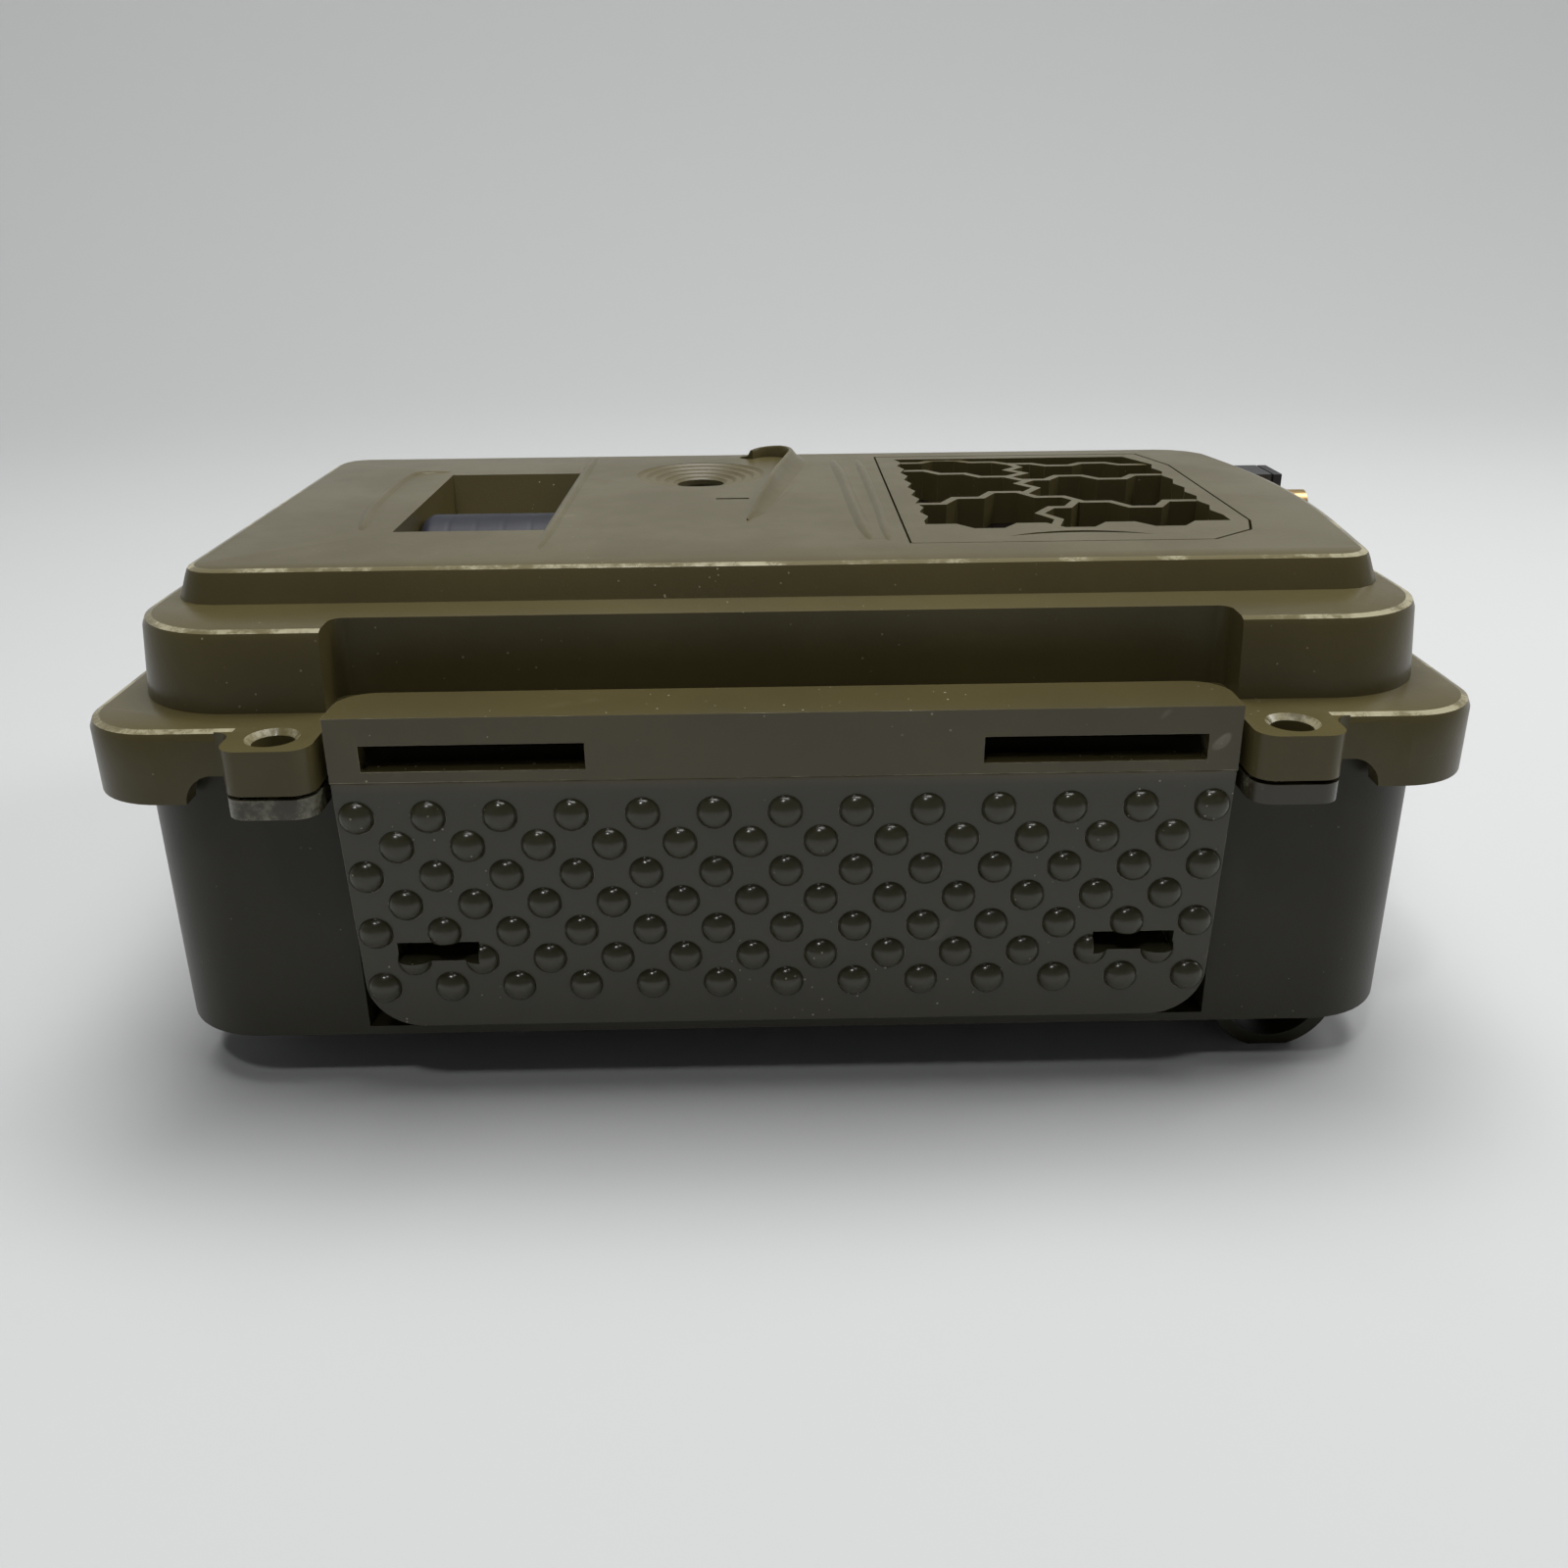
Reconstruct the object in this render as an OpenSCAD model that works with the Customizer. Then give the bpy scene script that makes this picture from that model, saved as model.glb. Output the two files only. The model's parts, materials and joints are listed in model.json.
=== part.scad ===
// Weatherproof trail camera lying on its back.
// X runs along the camera's height (its top end at +X), Y across it (latch at -Y, hinge at +Y),
// and Z from the surface it lies on up to its front face. All sizes are in millimetres.

/* [Rear housing] */
// Length of the rear housing
tub_l = 159.4; // [158:0.2:164]
// Depth of the rear housing, from the latch side to the hinge side
tub_d = 112.8; // [112:0.2:118]
// Height of the rear housing, from its floor to its rim
tub_h = 39.5; // [39:0.1:44]
// Corner radius of the rear housing
tub_r = 12; // [10:0.5:14]
// Wall of the mouldings
wall = 2.5; // [2.2:0.1:2.8]
// Height of the strap loops that the camera lies on
foot_h = 8; // [7.8:0.1:9]

/* [Front cover] */
// Gap between the rear housing and the skirt of the cover
skirt_gap = 0.6; // [0.5:0.1:0.8]
// Thickness of the skirt
skirt_t = 3; // [2.6:0.1:3.4]
// Corner radius of the cover's flange
flange_r = 10; // [9:0.5:11]
// Thickness of the cover's flange
flange_t = 3; // [2.8:0.1:3.4]
// Height of the lower step above the flange
upper_h = 9.8; // [9.6:0.1:11]
// Corner radius of the lower step
upper_r = 13; // [11:0.5:14]
// Height of the front panel above the lower step
panel_h = 4; // [3.8:0.1:4.5]
// How far the top end of the front panel bows out
panel_bow = 3; // [2:0.5:3.5]
// Set-back of the cover's front wall behind the latch
recess_deep = 5.6; // [5:0.1:6]

/* [Latch] */
// Width of the latch
latch_w = 104.2; // [100:0.2:105]
// Depth of the lip over the rim
lip_d = 9; // [8:0.2:9.4]
// Thickness of the lip
lip_t = 3.3; // [3:0.1:3.6]
// Diameter of one grip dome
dome_d = 4.2; // [3.8:0.1:4.6]
// Height of one grip dome
dome_h = 1.1; // [0.8:0.1:1.4]
// Distance between grip domes along the latch
dome_pitch = 8.3; // [8.1:0.1:8.6]

/* [Padlock ears] */
// Diameter of the padlock holes
padlock_d = 4.9; // [4:0.1:5.2]
// Distance of the padlock holes from the middle
padlock_x = 58.2; // [57.8:0.1:58.6]

/* [Sensor and lens] */
// Length of the motion sensor's lens
pir_l = 20.2; // [18:0.2:20.4]
// Radius of the motion sensor's lens
pir_r = 8.8; // [8:0.1:9]
// Radius of the stepped dish round the camera lens
dish_r = 10.4; // [9.5:0.1:10.6]
// Radius of the camera's lens barrel
barrel_r = 6; // [5:0.1:6.4]

/* [Flash grille] */
// Depth of the grille
grille_h = 5; // [4.6:0.1:5.2]
// Thickness of the grille's ribs
rib_t = 1.3; // [1.1:0.1:1.6]
// Diameter of one flash lamp
led_d = 5; // [4:0.2:5]

/* [Batteries] */
// Diameter of one cell
cell_d = 26.2; // [25:0.1:26.2]
// Length of one cell
cell_l = 50; // [49:0.1:50.4]

/* [Back] */
// Radius of the opening in a strap loop
loop_r = 6.6; // [6.4:0.1:6.7]
// Length of one strap loop
loop_l = 12; // [10:0.5:14]
// Bore of the tripod thread
tripod_d = 5.2; // [5:0.05:5.3]

/* [Controls] */
// Diameter of one button
button_d = 6.4; // [5.6:0.2:6.8]
// Travel of one button
button_travel = 0.5; // [0.3:0.05:0.6]
// Travel of the mode switch
switch_travel = 4; // [3:0.2:4.4]
// Distance that the memory card slides out
card_travel = 28; // [20:1:28]

/* [Antenna connector] */
// Diameter of the connector's thread
sma_d = 6.35; // [6.2:0.01:6.4]
// Length of the connector's thread
sma_l = 8; // [7:0.2:10]

/* [Hidden] */
$fn = 64;

// small distances
eps = 0.05;
seat = 0.3;
fit = 0.15;
snug = 0.02;
running = 0.06;

// heights
z0 = foot_h;
rim_z = z0 + tub_h;
plate_z = rim_z + 0.6;
flange_z = plate_z + flange_t;
upper_z = flange_z + upper_h;
panel_z = upper_z + panel_h;
floor_z = z0 + wall;

// plan sizes of the cover
flange_l = tub_l + 2 * (skirt_gap + skirt_t);
flange_d = tub_d + 2 * (skirt_gap + skirt_t);
upper_l = flange_l - 8.6;
upper_d = flange_d - 13.8;
panel_l = upper_l - 6.8;
panel_d = upper_d - 26.4;
upper_draft = 0.8;
panel_draft = 1;
edge_r = 1.2;
cave_l = flange_l - 28.6;
cave_d = flange_d - 30;
cave_r = 4;
roof_t = 2.4;
skirt_low = 6;
skirt_high = 2.4;

// seal and latch recess
shelf_in = 6.7;
gasket_h = 2.8;
gasket_w = 3.5;
rim_inset = wall + 0.1;
recess_w = latch_w + 4.4;
recess_y = -upper_d / 2 + recess_deep;
notch_w = latch_w + 1;
notch_y = -tub_d / 2 + rim_inset;

// latch
latch_y = -tub_d / 2 - 6.75;
latch_top = flange_z + 2.5;
latch_low = z0 + 3.2;
latch_foot_y = -tub_d / 2 - 3.25;
latch_t = 2.6;
band_z = latch_top - 8.2;
latch_r = 6.5;
lip_r = 4.5;
pivot_y = -tub_d / 2 + 2;
pivot_z = z0 + 10.4;
pivot_r = 1.2;
knuckle_r = 2.6;
knuckle_w = 10;
knuckle_x = latch_w / 2 - 9.6;
relief_y = -tub_d / 2 + 5.8;
relief_w = latch_w + 3;
relief_top = z0 + 16.6;
relief_low = z0 + 1.2;
slot_big = [latch_w * 0.246, 3.2];
slot_big_x = latch_w / 2 - 3.7 - slot_big[0] / 2;
slot_small = [10, 2.7];
slot_small_z = pivot_z + knuckle_r;
dome_rows = 7;
dome_cols = 13;
dome_row_pitch = 4;
dome_first_z = band_z - 4.2;

// hinge
hinge_y = tub_d / 2 + 8.6;
hinge_z = rim_z - 1;
hinge_r = 3.6;
hinge_pin_r = 1.5;
hinge_x = 50;
hinge_mid = 12;
hinge_side = 7.7;
hinge_gap = 0.3;

// ears
ear_x0 = notch_w / 2 + 0.4;
ear_x1 = padlock_x + 5.2;
ear_y = -tub_d / 2 - 10.1;
ear_r = 2.6;
ear_gap = 0.5;
rear_ear_t = 2.4;
padlock_y = -tub_d / 2 - 5.5;
padlock_sink = 0.7;

// back
loop_R = foot_h + 0.4;
loop_x = tub_l / 2 - 14.4;
loop_in = 6.4;
lower_loop_in = 18.4;
rail_t = 1.2;
rail_w = 2 * loop_R - 0.6;
rail_screws = [-18, 0, 18];
tripod_r = 9;
insert_r = 4.5;
insert_low = 0;
insert_top = z0 + 0.6;

// batteries
cell_gap = 0.4;
spring_l = 5;
tray_t = 1.6;
tray_floor = 1.5;
bay_l = 2 * cell_l + spring_l + 1.2;
bay_d = 3 * (cell_d + cell_gap);
tray_l = bay_l + 2 * tray_t;
tray_d = bay_d + 2 * tray_t;
tray_h = 20;
cell_z = floor_z + tray_floor + cell_d / 2;
cell_x0 = -bay_l / 2 + 0.6;
tray_screw_x = tray_l / 2 + 3.4;
tray_screw_y = tray_d / 2 - 8;
terminal_y = 18;
terminal_top = z0 + 33;

// boards and inner plate
inner_l = cave_l + 4;
inner_d = cave_d + 5;
inner_t = wall;
inner_z = plate_z - inner_t;
boss_x = cave_l / 2 - 2.5;
boss_y = cave_d / 2 - 2.5;
boss_r = 3;
screw_r = 1.25;
board_z = plate_z + 3.5;
board_t = 1.6;
board_l = cave_l - 13;
board_d = cave_d - 10;
board_top = board_z + board_t;
post_x = board_l / 2 - 4;
post_y = board_d / 2 - 3;

// display and keys
display_x = 4;
display_l = board_l * 0.48;
display_d = board_d * 0.55;
display_t = 2.6;
view_l = display_l - 10;
view_d = display_d - 7;
key_x = board_l / 2 - 12.5;
key_gap = 8.5;
menu_y = terminal_y + 9;
keys = [[key_x, key_gap + 1], [key_x, -key_gap - 1], [key_x - key_gap, 0], [key_x + key_gap, 0],
    [key_x, 0], [key_x, menu_y]];
key_low = 1.2;
key_switch_h = 2;
knob_x = key_x - 2;
knob_y = -27;
knob_w = 3;
card = [24, 32, 2.1];
card_x = -board_l / 2 + 14;
card_y = 12;
card_z = plate_z + 1.1;
socket_wall = 1;

// motion sensor, lens and flash
pir_x = -panel_l * 0.281;
pir_y = -1.5;
pir_z = board_top + 1.4;
pir_wall = 1.2;
pir_pocket = [21.4, 42];
pir_pocket_y = 2;
pir_floor_t = 1.8;
pir_step = 1.5;
lens_x = -panel_l * 0.0815;
lens_y = panel_d / 2 - 18.9;
dish_steps = 5;
dish_hole_r = 3.8;
dish_step = 0.32;
dish_slope = 0.5;
window_t = 1.2;
light_x = -4.6;
light_y = lens_y + 15;
light_r = 1.4;
mic = [5, 0.8];
mic_x = -6.7;
mic_y = 0.8;
grille_x0 = panel_l * 0.115;
grille_x1 = panel_l / 2 - 10.4;
grille_y0 = -panel_d / 2 + 10.3;
grille_y1 = panel_d / 2 - 5.3;
grille_flange = 1.3;
grille_seam = 0.3;
tooth = 0.9;
slit_l = 0.41 * (grille_x1 - grille_x0);
slit_rise = 2.9;
slit_w = 1.1;
slit_y = grille_y0 + 3.1;
slit_deep = 1.2;
grille_low = panel_z - grille_h;
glass_t = 1.5;
led_board_t = 1.2;
led_board_z = board_top + 1;
led_h = grille_low - glass_t - seat - led_board_z - led_board_t;

// connectors on the top end
end_x = upper_l / 2 + upper_draft;
sma_y = 30;
sma_z = flange_z + 5;
pad_w = 10.6;
sma_r = sma_d / 2;
sma_neck_r = sma_r - 0.42;
nut_r = 4.5;
nut_t = 2.2;
washer_t = 0.6;
sma_in = 5;
sma_neck_l = sma_in + washer_t + nut_t + 0.3;
sma_base_t = sma_in - upper_draft - roof_t - snug;
jack_y = 45;
jack_z = flange_z + 4.7;
jack_box = [9, 9, 8.4];
jack_bore_r = 2.9;
jack_wall = 0.6;
cap_t = 1.6;
cap_l = 4.4;
cap_travel = 8;

// ---------- plan shapes ----------

module round_rect(l, d, r) {
    square([l - 2 * r, d], center = true);
    square([l, d - 2 * r], center = true);
    for (sx = [-1, 1], sy = [-1, 1])
        translate([sx * (l / 2 - r), sy * (d / 2 - r)])
            circle(r);
}

module round_box(l, d, h, r) {
    linear_extrude(h)
        round_rect(l, d, r);
}

module ring_box(l, d, h, r, t) {
    difference() {
        round_box(l, d, h, r);
        translate([0, 0, -1])
            round_box(l - 2 * t, d - 2 * t, h + 2, max(r - t, 1));
    }
}

// one thin slice of a body that tapers and has a rounded top edge
module slice(l, d, r, inset, z) {
    translate([0, 0, z])
        linear_extrude(eps)
            round_rect(l - 2 * inset, d - 2 * inset, r - inset);
}

// a tapered block with a rounded top edge, standing on z = 0
module soft_block(l, d, h, r, draft, edge) {
    hull() {
        slice(l + 2 * draft, d + 2 * draft, r + draft, 0, -eps);
        slice(l, d, r, 0, h - edge);
        slice(l, d, r, edge * 0.29, h - edge * 0.29);
        slice(l, d, r, edge, h - eps);
    }
}

// outline of the front panel, with a bowed end at +X
function corner(x, y, r, a0) = [for (k = [0:4]) [x + r * cos(a0 + k * 22.5), y + r * sin(a0 + k * 22.5)]];

function bow(x, half, depth) = [for (k = [-6:6]) [x + depth * (1 - k * k / 49), half * k / 7]];

function panel_points(inset) = concat(
    corner(-panel_l / 2 + 5, panel_d / 2 - 5, 5 - inset, 90),
    corner(-panel_l / 2 + 5, -panel_d / 2 + 5, 5 - inset, 180),
    corner(panel_l / 2 - 5, -panel_d / 2 + 5, 5 - inset, 270),
    bow(panel_l / 2 - inset, panel_d / 2 - 9, panel_bow),
    corner(panel_l / 2 - 9, panel_d / 2 - 9, 9 - inset, 0));

module panel_slice(inset, z) {
    translate([0, 0, z])
        linear_extrude(eps)
            polygon(panel_points(inset));
}

module tube(r1, r2, h) {
    difference() {
        cylinder(h = h, r = r2);
        translate([0, 0, -1])
            cylinder(h = h + 2, r = r1);
    }
}

module x_rod(r, l) {
    rotate([0, 90, 0])
        cylinder(h = l, r = r, center = true);
}

// a pan-head screw that points up, its head's underside at z = 0
module screw(r, l, head_r, head_h) {
    cylinder(h = l, r = r);
    translate([0, 0, -head_h])
        difference() {
            cylinder(h = head_h, r = head_r);
            translate([-head_r * 0.6, -0.4, -eps])
                cube([head_r * 1.2, 0.8, 0.8]);
            translate([-0.4, -head_r * 0.6, -eps])
                cube([0.8, head_r * 1.2, 0.8]);
        }
}

// padlock ear in plan, reaching from the body out to ear_y
module ear_plan(root_y) {
    translate([ear_x0, ear_y + ear_r])
        square([ear_x1 - ear_x0, root_y - ear_y - ear_r]);
    translate([ear_x0 + ear_r, ear_y])
        square([ear_x1 - ear_x0 - 2 * ear_r, ear_r + 1]);
    for (x = [ear_x0 + ear_r, ear_x1 - ear_r])
        translate([x, ear_y + ear_r])
            circle(ear_r);
}

// hollow fillet where the ear leaves the flange
module ear_fillet(y) {
    difference() {
        translate([ear_x1 - eps, y - 2.2])
            square([2.2, 2.2 + eps]);
        translate([ear_x1 + 2.2, y - 2.2])
            circle(2.2);
    }
}

module both_sides() {
    for (s = [0, 1])
        mirror([s, 0, 0])
            children();
}

// ---------- rear body ----------

module rear_housing() {
    color([0.25, 0.25, 0.21])
    difference() {
        union() {
            difference() {
                translate([0, 0, z0])
                    round_box(tub_l, tub_d, tub_h, tub_r);
                translate([0, 0, floor_z])
                    round_box(tub_l - 2 * wall, tub_d - 2 * wall, tub_h, tub_r - wall);
            }
            // shelf for the seal
            translate([0, 0, rim_z - gasket_h - 1.7])
                ring_box(tub_l - wall, tub_d - wall, 2, tub_r - wall / 2, shelf_in - wall / 2);
            // swelling behind the latch's tail
            translate([-relief_w / 2 - 2, -tub_d / 2 + 0.6, z0 + 0.6])
                cube([relief_w + 4, relief_y + tub_d / 2 + 1.6, relief_top - z0 + 1.4]);
            // padlock ears
            both_sides()
                translate([0, 0, plate_z - skirt_high - ear_gap - rear_ear_t])
                    linear_extrude(rear_ear_t)
                        ear_plan(-tub_d / 2 + 1);
            // hinge knuckles
            both_sides() {
                translate([hinge_x - hinge_mid / 2, tub_d / 2 - 1, hinge_z - hinge_r])
                    cube([hinge_mid, hinge_y - tub_d / 2 + 1, 2.3]);
                translate([hinge_x, hinge_y, hinge_z])
                    x_rod(hinge_r, hinge_mid);
            }
            // boss for the tripod thread
            translate([0, 0, insert_low])
                cylinder(h = z0 - insert_low + 1, r = tripod_r);
            // bosses for the bracket and tray screws
            both_sides() {
                for (y = rail_screws)
                    translate([loop_x, y, z0 + 1])
                        cylinder(h = wall + 4, r = 3.4);
                for (y = [-tray_screw_y, tray_screw_y])
                    translate([tray_screw_x, y, z0 + 1])
                        cylinder(h = floor_z + tray_floor + 3 - z0 - 1, r = 2.8);
            }
        }
        // relief that the latch's tail swings into
        difference() {
            translate([-relief_w / 2, -tub_d / 2 - 1, relief_low])
                cube([relief_w, relief_y + tub_d / 2 + 1, relief_top - relief_low]);
            both_sides()
                for (x = [knuckle_x - knuckle_w / 2 - 2.4, knuckle_x + knuckle_w / 2 + 0.2])
                    translate([x, 0, 0])
                        latch_web();
        }
        both_sides()
            translate([knuckle_x, pivot_y, pivot_z])
                x_rod(pivot_r + snug, knuckle_w + 4);
        // bores
        both_sides() {
            translate([padlock_x, padlock_y, plate_z - 12])
                cylinder(h = 12, r = padlock_d / 2);
            translate([hinge_x, hinge_y, hinge_z])
                x_rod(hinge_pin_r + snug, hinge_mid + 2);
            for (y = rail_screws)
                translate([loop_x, y, z0 - 1])
                    cylinder(h = wall + 4.5, r = screw_r + snug);
            for (y = [-tray_screw_y, tray_screw_y])
                translate([tray_screw_x, y, z0 + 1.5])
                    cylinder(h = 10, r = screw_r + snug);
        }
        translate([0, 0, insert_low - 1])
            cylinder(h = insert_top - insert_low + 1, r = insert_r + snug);
    }
}

// web that carries one end of a latch pin
module latch_web() {
    translate([0, pivot_y - 2, pivot_z])
        cube([2.2, relief_y - pivot_y + 3, relief_top - pivot_z + 1]);
    intersection() {
        translate([0, pivot_y, pivot_z])
            rotate([0, 90, 0])
                cylinder(h = 2.2, r = 2.2);
        translate([0, pivot_y - 2, pivot_z - 3])
            cube([2.2, 6, 6]);
    }
}

module gasket() {
    color([0.08, 0.08, 0.08])
    translate([0, 0, rim_z - gasket_h + 0.3])
        ring_box(tub_l - 2 * rim_inset - 0.2, tub_d - 2 * rim_inset - 0.2, gasket_h,
            tub_r - rim_inset - 0.1, gasket_w);
}

module strap_bracket(inset) {
    loop_y = (tub_d - loop_l) / 2 - inset;
    color([0.2, 0.2, 0.16])
    difference() {
        union() {
            intersection() {
                for (s = [-1, 1])
                    translate([loop_x, s * loop_y, z0])
                        rotate([90, 0, 0])
                            cylinder(h = loop_l, r = loop_R, center = true);
                translate([0, -tub_d, 0])
                    cube([tub_l, 2 * tub_d, z0]);
            }
            translate([loop_x - rail_w / 2, -loop_y + loop_l / 2 - 1, z0 - rail_t])
                cube([rail_w, 2 * loop_y - loop_l + 2, rail_t]);
        }
        for (s = [-1, 1])
            translate([loop_x, s * loop_y, z0])
                rotate([90, 0, 0])
                    cylinder(h = loop_l + 2, r = loop_r, center = true);
        for (y = rail_screws)
            translate([loop_x, y, z0 - rail_t]) {
                translate([0, 0, -1])
                    cylinder(h = rail_t + 2, r = screw_r + 0.15);
                translate([0, 0, -eps])
                    cylinder(h = 1.1, r1 = 2.6, r2 = screw_r + 0.15);
            }
    }
}

module upper_strap_bracket() {
    strap_bracket(loop_in);
}

module lower_strap_bracket() {
    mirror([1, 0, 0])
        strap_bracket(lower_loop_in);
}

module bracket_screws() {
    color([0.45, 0.45, 0.45])
    both_sides()
        for (y = rail_screws)
            translate([loop_x, y, z0 - rail_t])
                difference() {
                    union() {
                        cylinder(h = rail_t + wall + 2.4, r = screw_r);
                        cylinder(h = 1, r1 = 2.5, r2 = screw_r);
                    }
                    translate([-1.6, -0.35, -eps])
                        cube([3.2, 0.7, 0.6]);
                }
}

module tripod_insert() {
    color([0.75, 0.62, 0.3])
    translate([0, 0, insert_low])
        tube(tripod_d / 2, insert_r, insert_top - insert_low - snug);
}

module battery_tray() {
    color([0.1, 0.1, 0.1])
    difference() {
        union() {
            translate([0, 0, floor_z])
                round_box(tray_l, tray_d, tray_floor + tray_h, 2);
            for (sx = [-1, 1], sy = [-1, 1])
                translate([sx * (tray_screw_x - 2.5), sy * tray_screw_y, floor_z + tray_floor + 3])
                    translate([-5, -4, 0])
                        cube([10, 8, 1.8]);
            // terminal block
            translate([tray_l / 2 - 1, terminal_y - 5, floor_z + tray_floor + 7])
                cube([9, 10, terminal_top - floor_z - tray_floor - 7]);
        }
        for (k = [-1:1])
            translate([0, k * (cell_d + cell_gap), 0]) {
                translate([-bay_l / 2, -cell_d / 2 - 0.1, cell_z])
                    cube([bay_l, cell_d + 0.2, tray_h]);
                translate([0, 0, cell_z])
                    x_rod(cell_d / 2 + 0.1, bay_l);
            }
        for (sx = [-1, 1], sy = [-1, 1])
            translate([sx * tray_screw_x, sy * tray_screw_y, floor_z])
                cylinder(h = 12, r = screw_r + 0.2);
    }
}

module tray_screws() {
    color([0.6, 0.6, 0.62])
    for (sx = [-1, 1], sy = [-1, 1])
        translate([sx * tray_screw_x, sy * tray_screw_y, floor_z + tray_floor + 4.8])
            mirror([0, 0, 1])
                screw(screw_r, 6, 2.3, 1.6);
}

// one cell, its bare end against a spring and its cap against a plate
module cell(k) {
    row = floor(k / 2) - 1;
    flip = row == 0 ? 1 : 0;
    half = k % 2;
    x = cell_x0 + half * cell_l;
    mirror([flip, 0, 0])
        translate([x, row * (cell_d + cell_gap), cell_z])
            mirror([1, 0, 0])
                translate([-cell_l, 0, 0])
                    rotate([0, 90, 0]) {
                        color([0.16, 0.2, 0.16])
                            cylinder(h = cell_l - 1.8, r = cell_d / 2);
                        color([0.8, 0.8, 0.8])
                            translate([0, 0, cell_l - 1.8 - eps])
                                cylinder(h = 1.8 + eps, r = 3.4);
                    }
}

module cell_1() { cell(0); }
module cell_2() { cell(1); }
module cell_3() { cell(2); }
module cell_4() { cell(3); }
module cell_5() { cell(4); }
module cell_6() { cell(5); }

// conical spring: a round wire swept along a helix, its turns drawn in towards the cell
wire_r = 0.45;
spring_turns = 3;
spring_steps = 8;
spring_sides = 6;
spring_pitch = (spring_l - 2 * wire_r - seat) / spring_turns;
function spring_r(t) = 7 - 3 * t / spring_turns;
function spring_at(t) = [spring_r(t) * cos(360 * t), spring_r(t) * sin(360 * t), wire_r + spring_pitch * t];
function spring_ring(t) = [for (s = [0:spring_sides - 1])
    let (a = 360 * s / spring_sides)
    spring_at(t) + wire_r * [cos(a) * cos(360 * t), cos(a) * sin(360 * t), sin(a)]];
echo(spring_gap = spring_pitch - 2 * wire_r);

module coil() {
    rings = spring_turns * spring_steps;
    n = spring_sides;
    polyhedron(
        points = [for (i = [0:rings]) each spring_ring(i / spring_steps)],
        faces = concat(
            [[for (s = [n - 1:-1:0]) s]],
            [for (i = [0:rings - 1], s = [0:n - 1])
                [i * n + s, i * n + (s + 1) % n, (i + 1) * n + (s + 1) % n, (i + 1) * n + s]],
            [[for (s = [0:n - 1]) rings * n + s]]));
}

module contact_springs() {
    color([0.75, 0.75, 0.76])
    for (k = [-1:1])
        mirror([k == 0 ? 1 : 0, 0, 0])
            translate([bay_l / 2, k * (cell_d + cell_gap), cell_z])
                rotate([0, -90, 0]) {
                    translate([-8, -8, 0])
                        cube([16, 16, 0.4]);
                    translate([0, 0, 0.4 - wire_r])
                        coil();
                }
}

module contact_plates() {
    color([0.75, 0.75, 0.76])
    for (k = [-1:1])
        mirror([k == 0 ? 1 : 0, 0, 0])
            translate([-bay_l / 2, k * (cell_d + cell_gap) - 8, cell_z - 8])
                cube([0.5, 16, 16]);
}

module terminal_pads() {
    color([0.8, 0.65, 0.3])
    for (s = [-1, 1])
        translate([tray_l / 2 + 4, terminal_y + s * 2.5, terminal_top])
            translate([-3, -1.6, 0])
                cube([6, 3.2, 0.6]);
}

module hinge_pins() {
    color([0.7, 0.7, 0.7])
    both_sides()
        translate([hinge_x, hinge_y, hinge_z])
            x_rod(hinge_pin_r, hinge_mid + 2 * hinge_side + 2 * hinge_gap);
}

module latch_pins() {
    color([0.7, 0.7, 0.7])
    both_sides()
        translate([knuckle_x, pivot_y, pivot_z])
            x_rod(pivot_r, knuckle_w + 4);
}

// ---------- front cover ----------

// space that the skirt leaves in front and behind, with rounded ends
module skirt_cut(span, y) {
    translate([-span / 2, y - 8, plate_z - skirt_low - 1])
        cube([span, 16, skirt_low - skirt_high + 1]);
    for (s = [-1, 1])
        translate([s * span / 2, y, plate_z - skirt_low])
            rotate([90, 0, 0])
                cylinder(h = 16, r = skirt_low - skirt_high, center = true);
}

// hood ridge beside the lens: one crescent, wider and lower at each level down
function hood_in(t) = [-4.6 + 7 * sin(90 * t), -13 + 51 * t];
function hood_out(t, w) = hood_in(t) + [w * sin(180 * t) + 0.3, -w * 0.3 * t];
function hood_points(t0, w) = concat(
    [for (k = [0:12]) hood_in(t0 + (1 - t0) * k / 12)],
    [for (k = [12:-1:0]) hood_out(t0 + (1 - t0) * k / 12, w)]);

module hood() {
    for (i = [0:3])
        translate([0, 0, panel_z - eps])
            linear_extrude(0.5 * (i + 1))
                polygon(hood_points(0.14 * i, 2.6 - 0.45 * i));
    // the hood curls round behind the lens
    for (i = [0:3])
        translate([-4.2, 32, panel_z - eps])
            linear_extrude(0.5 * (i + 1))
                intersection() {
                    difference() {
                        circle(6.9 - 0.25 * i);
                        circle(5.2 + 0.1 * i);
                    }
                    translate([-1.5, 0])
                        square(10);
                }
}

module front_band() {
    for (i = [0, 1])
        translate([10.6 + 0.5 * i, -27 + 2 * i, panel_z - eps])
            cube([4 - i, 61 - 4 * i, 0.4 * (i + 1)]);
}

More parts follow.
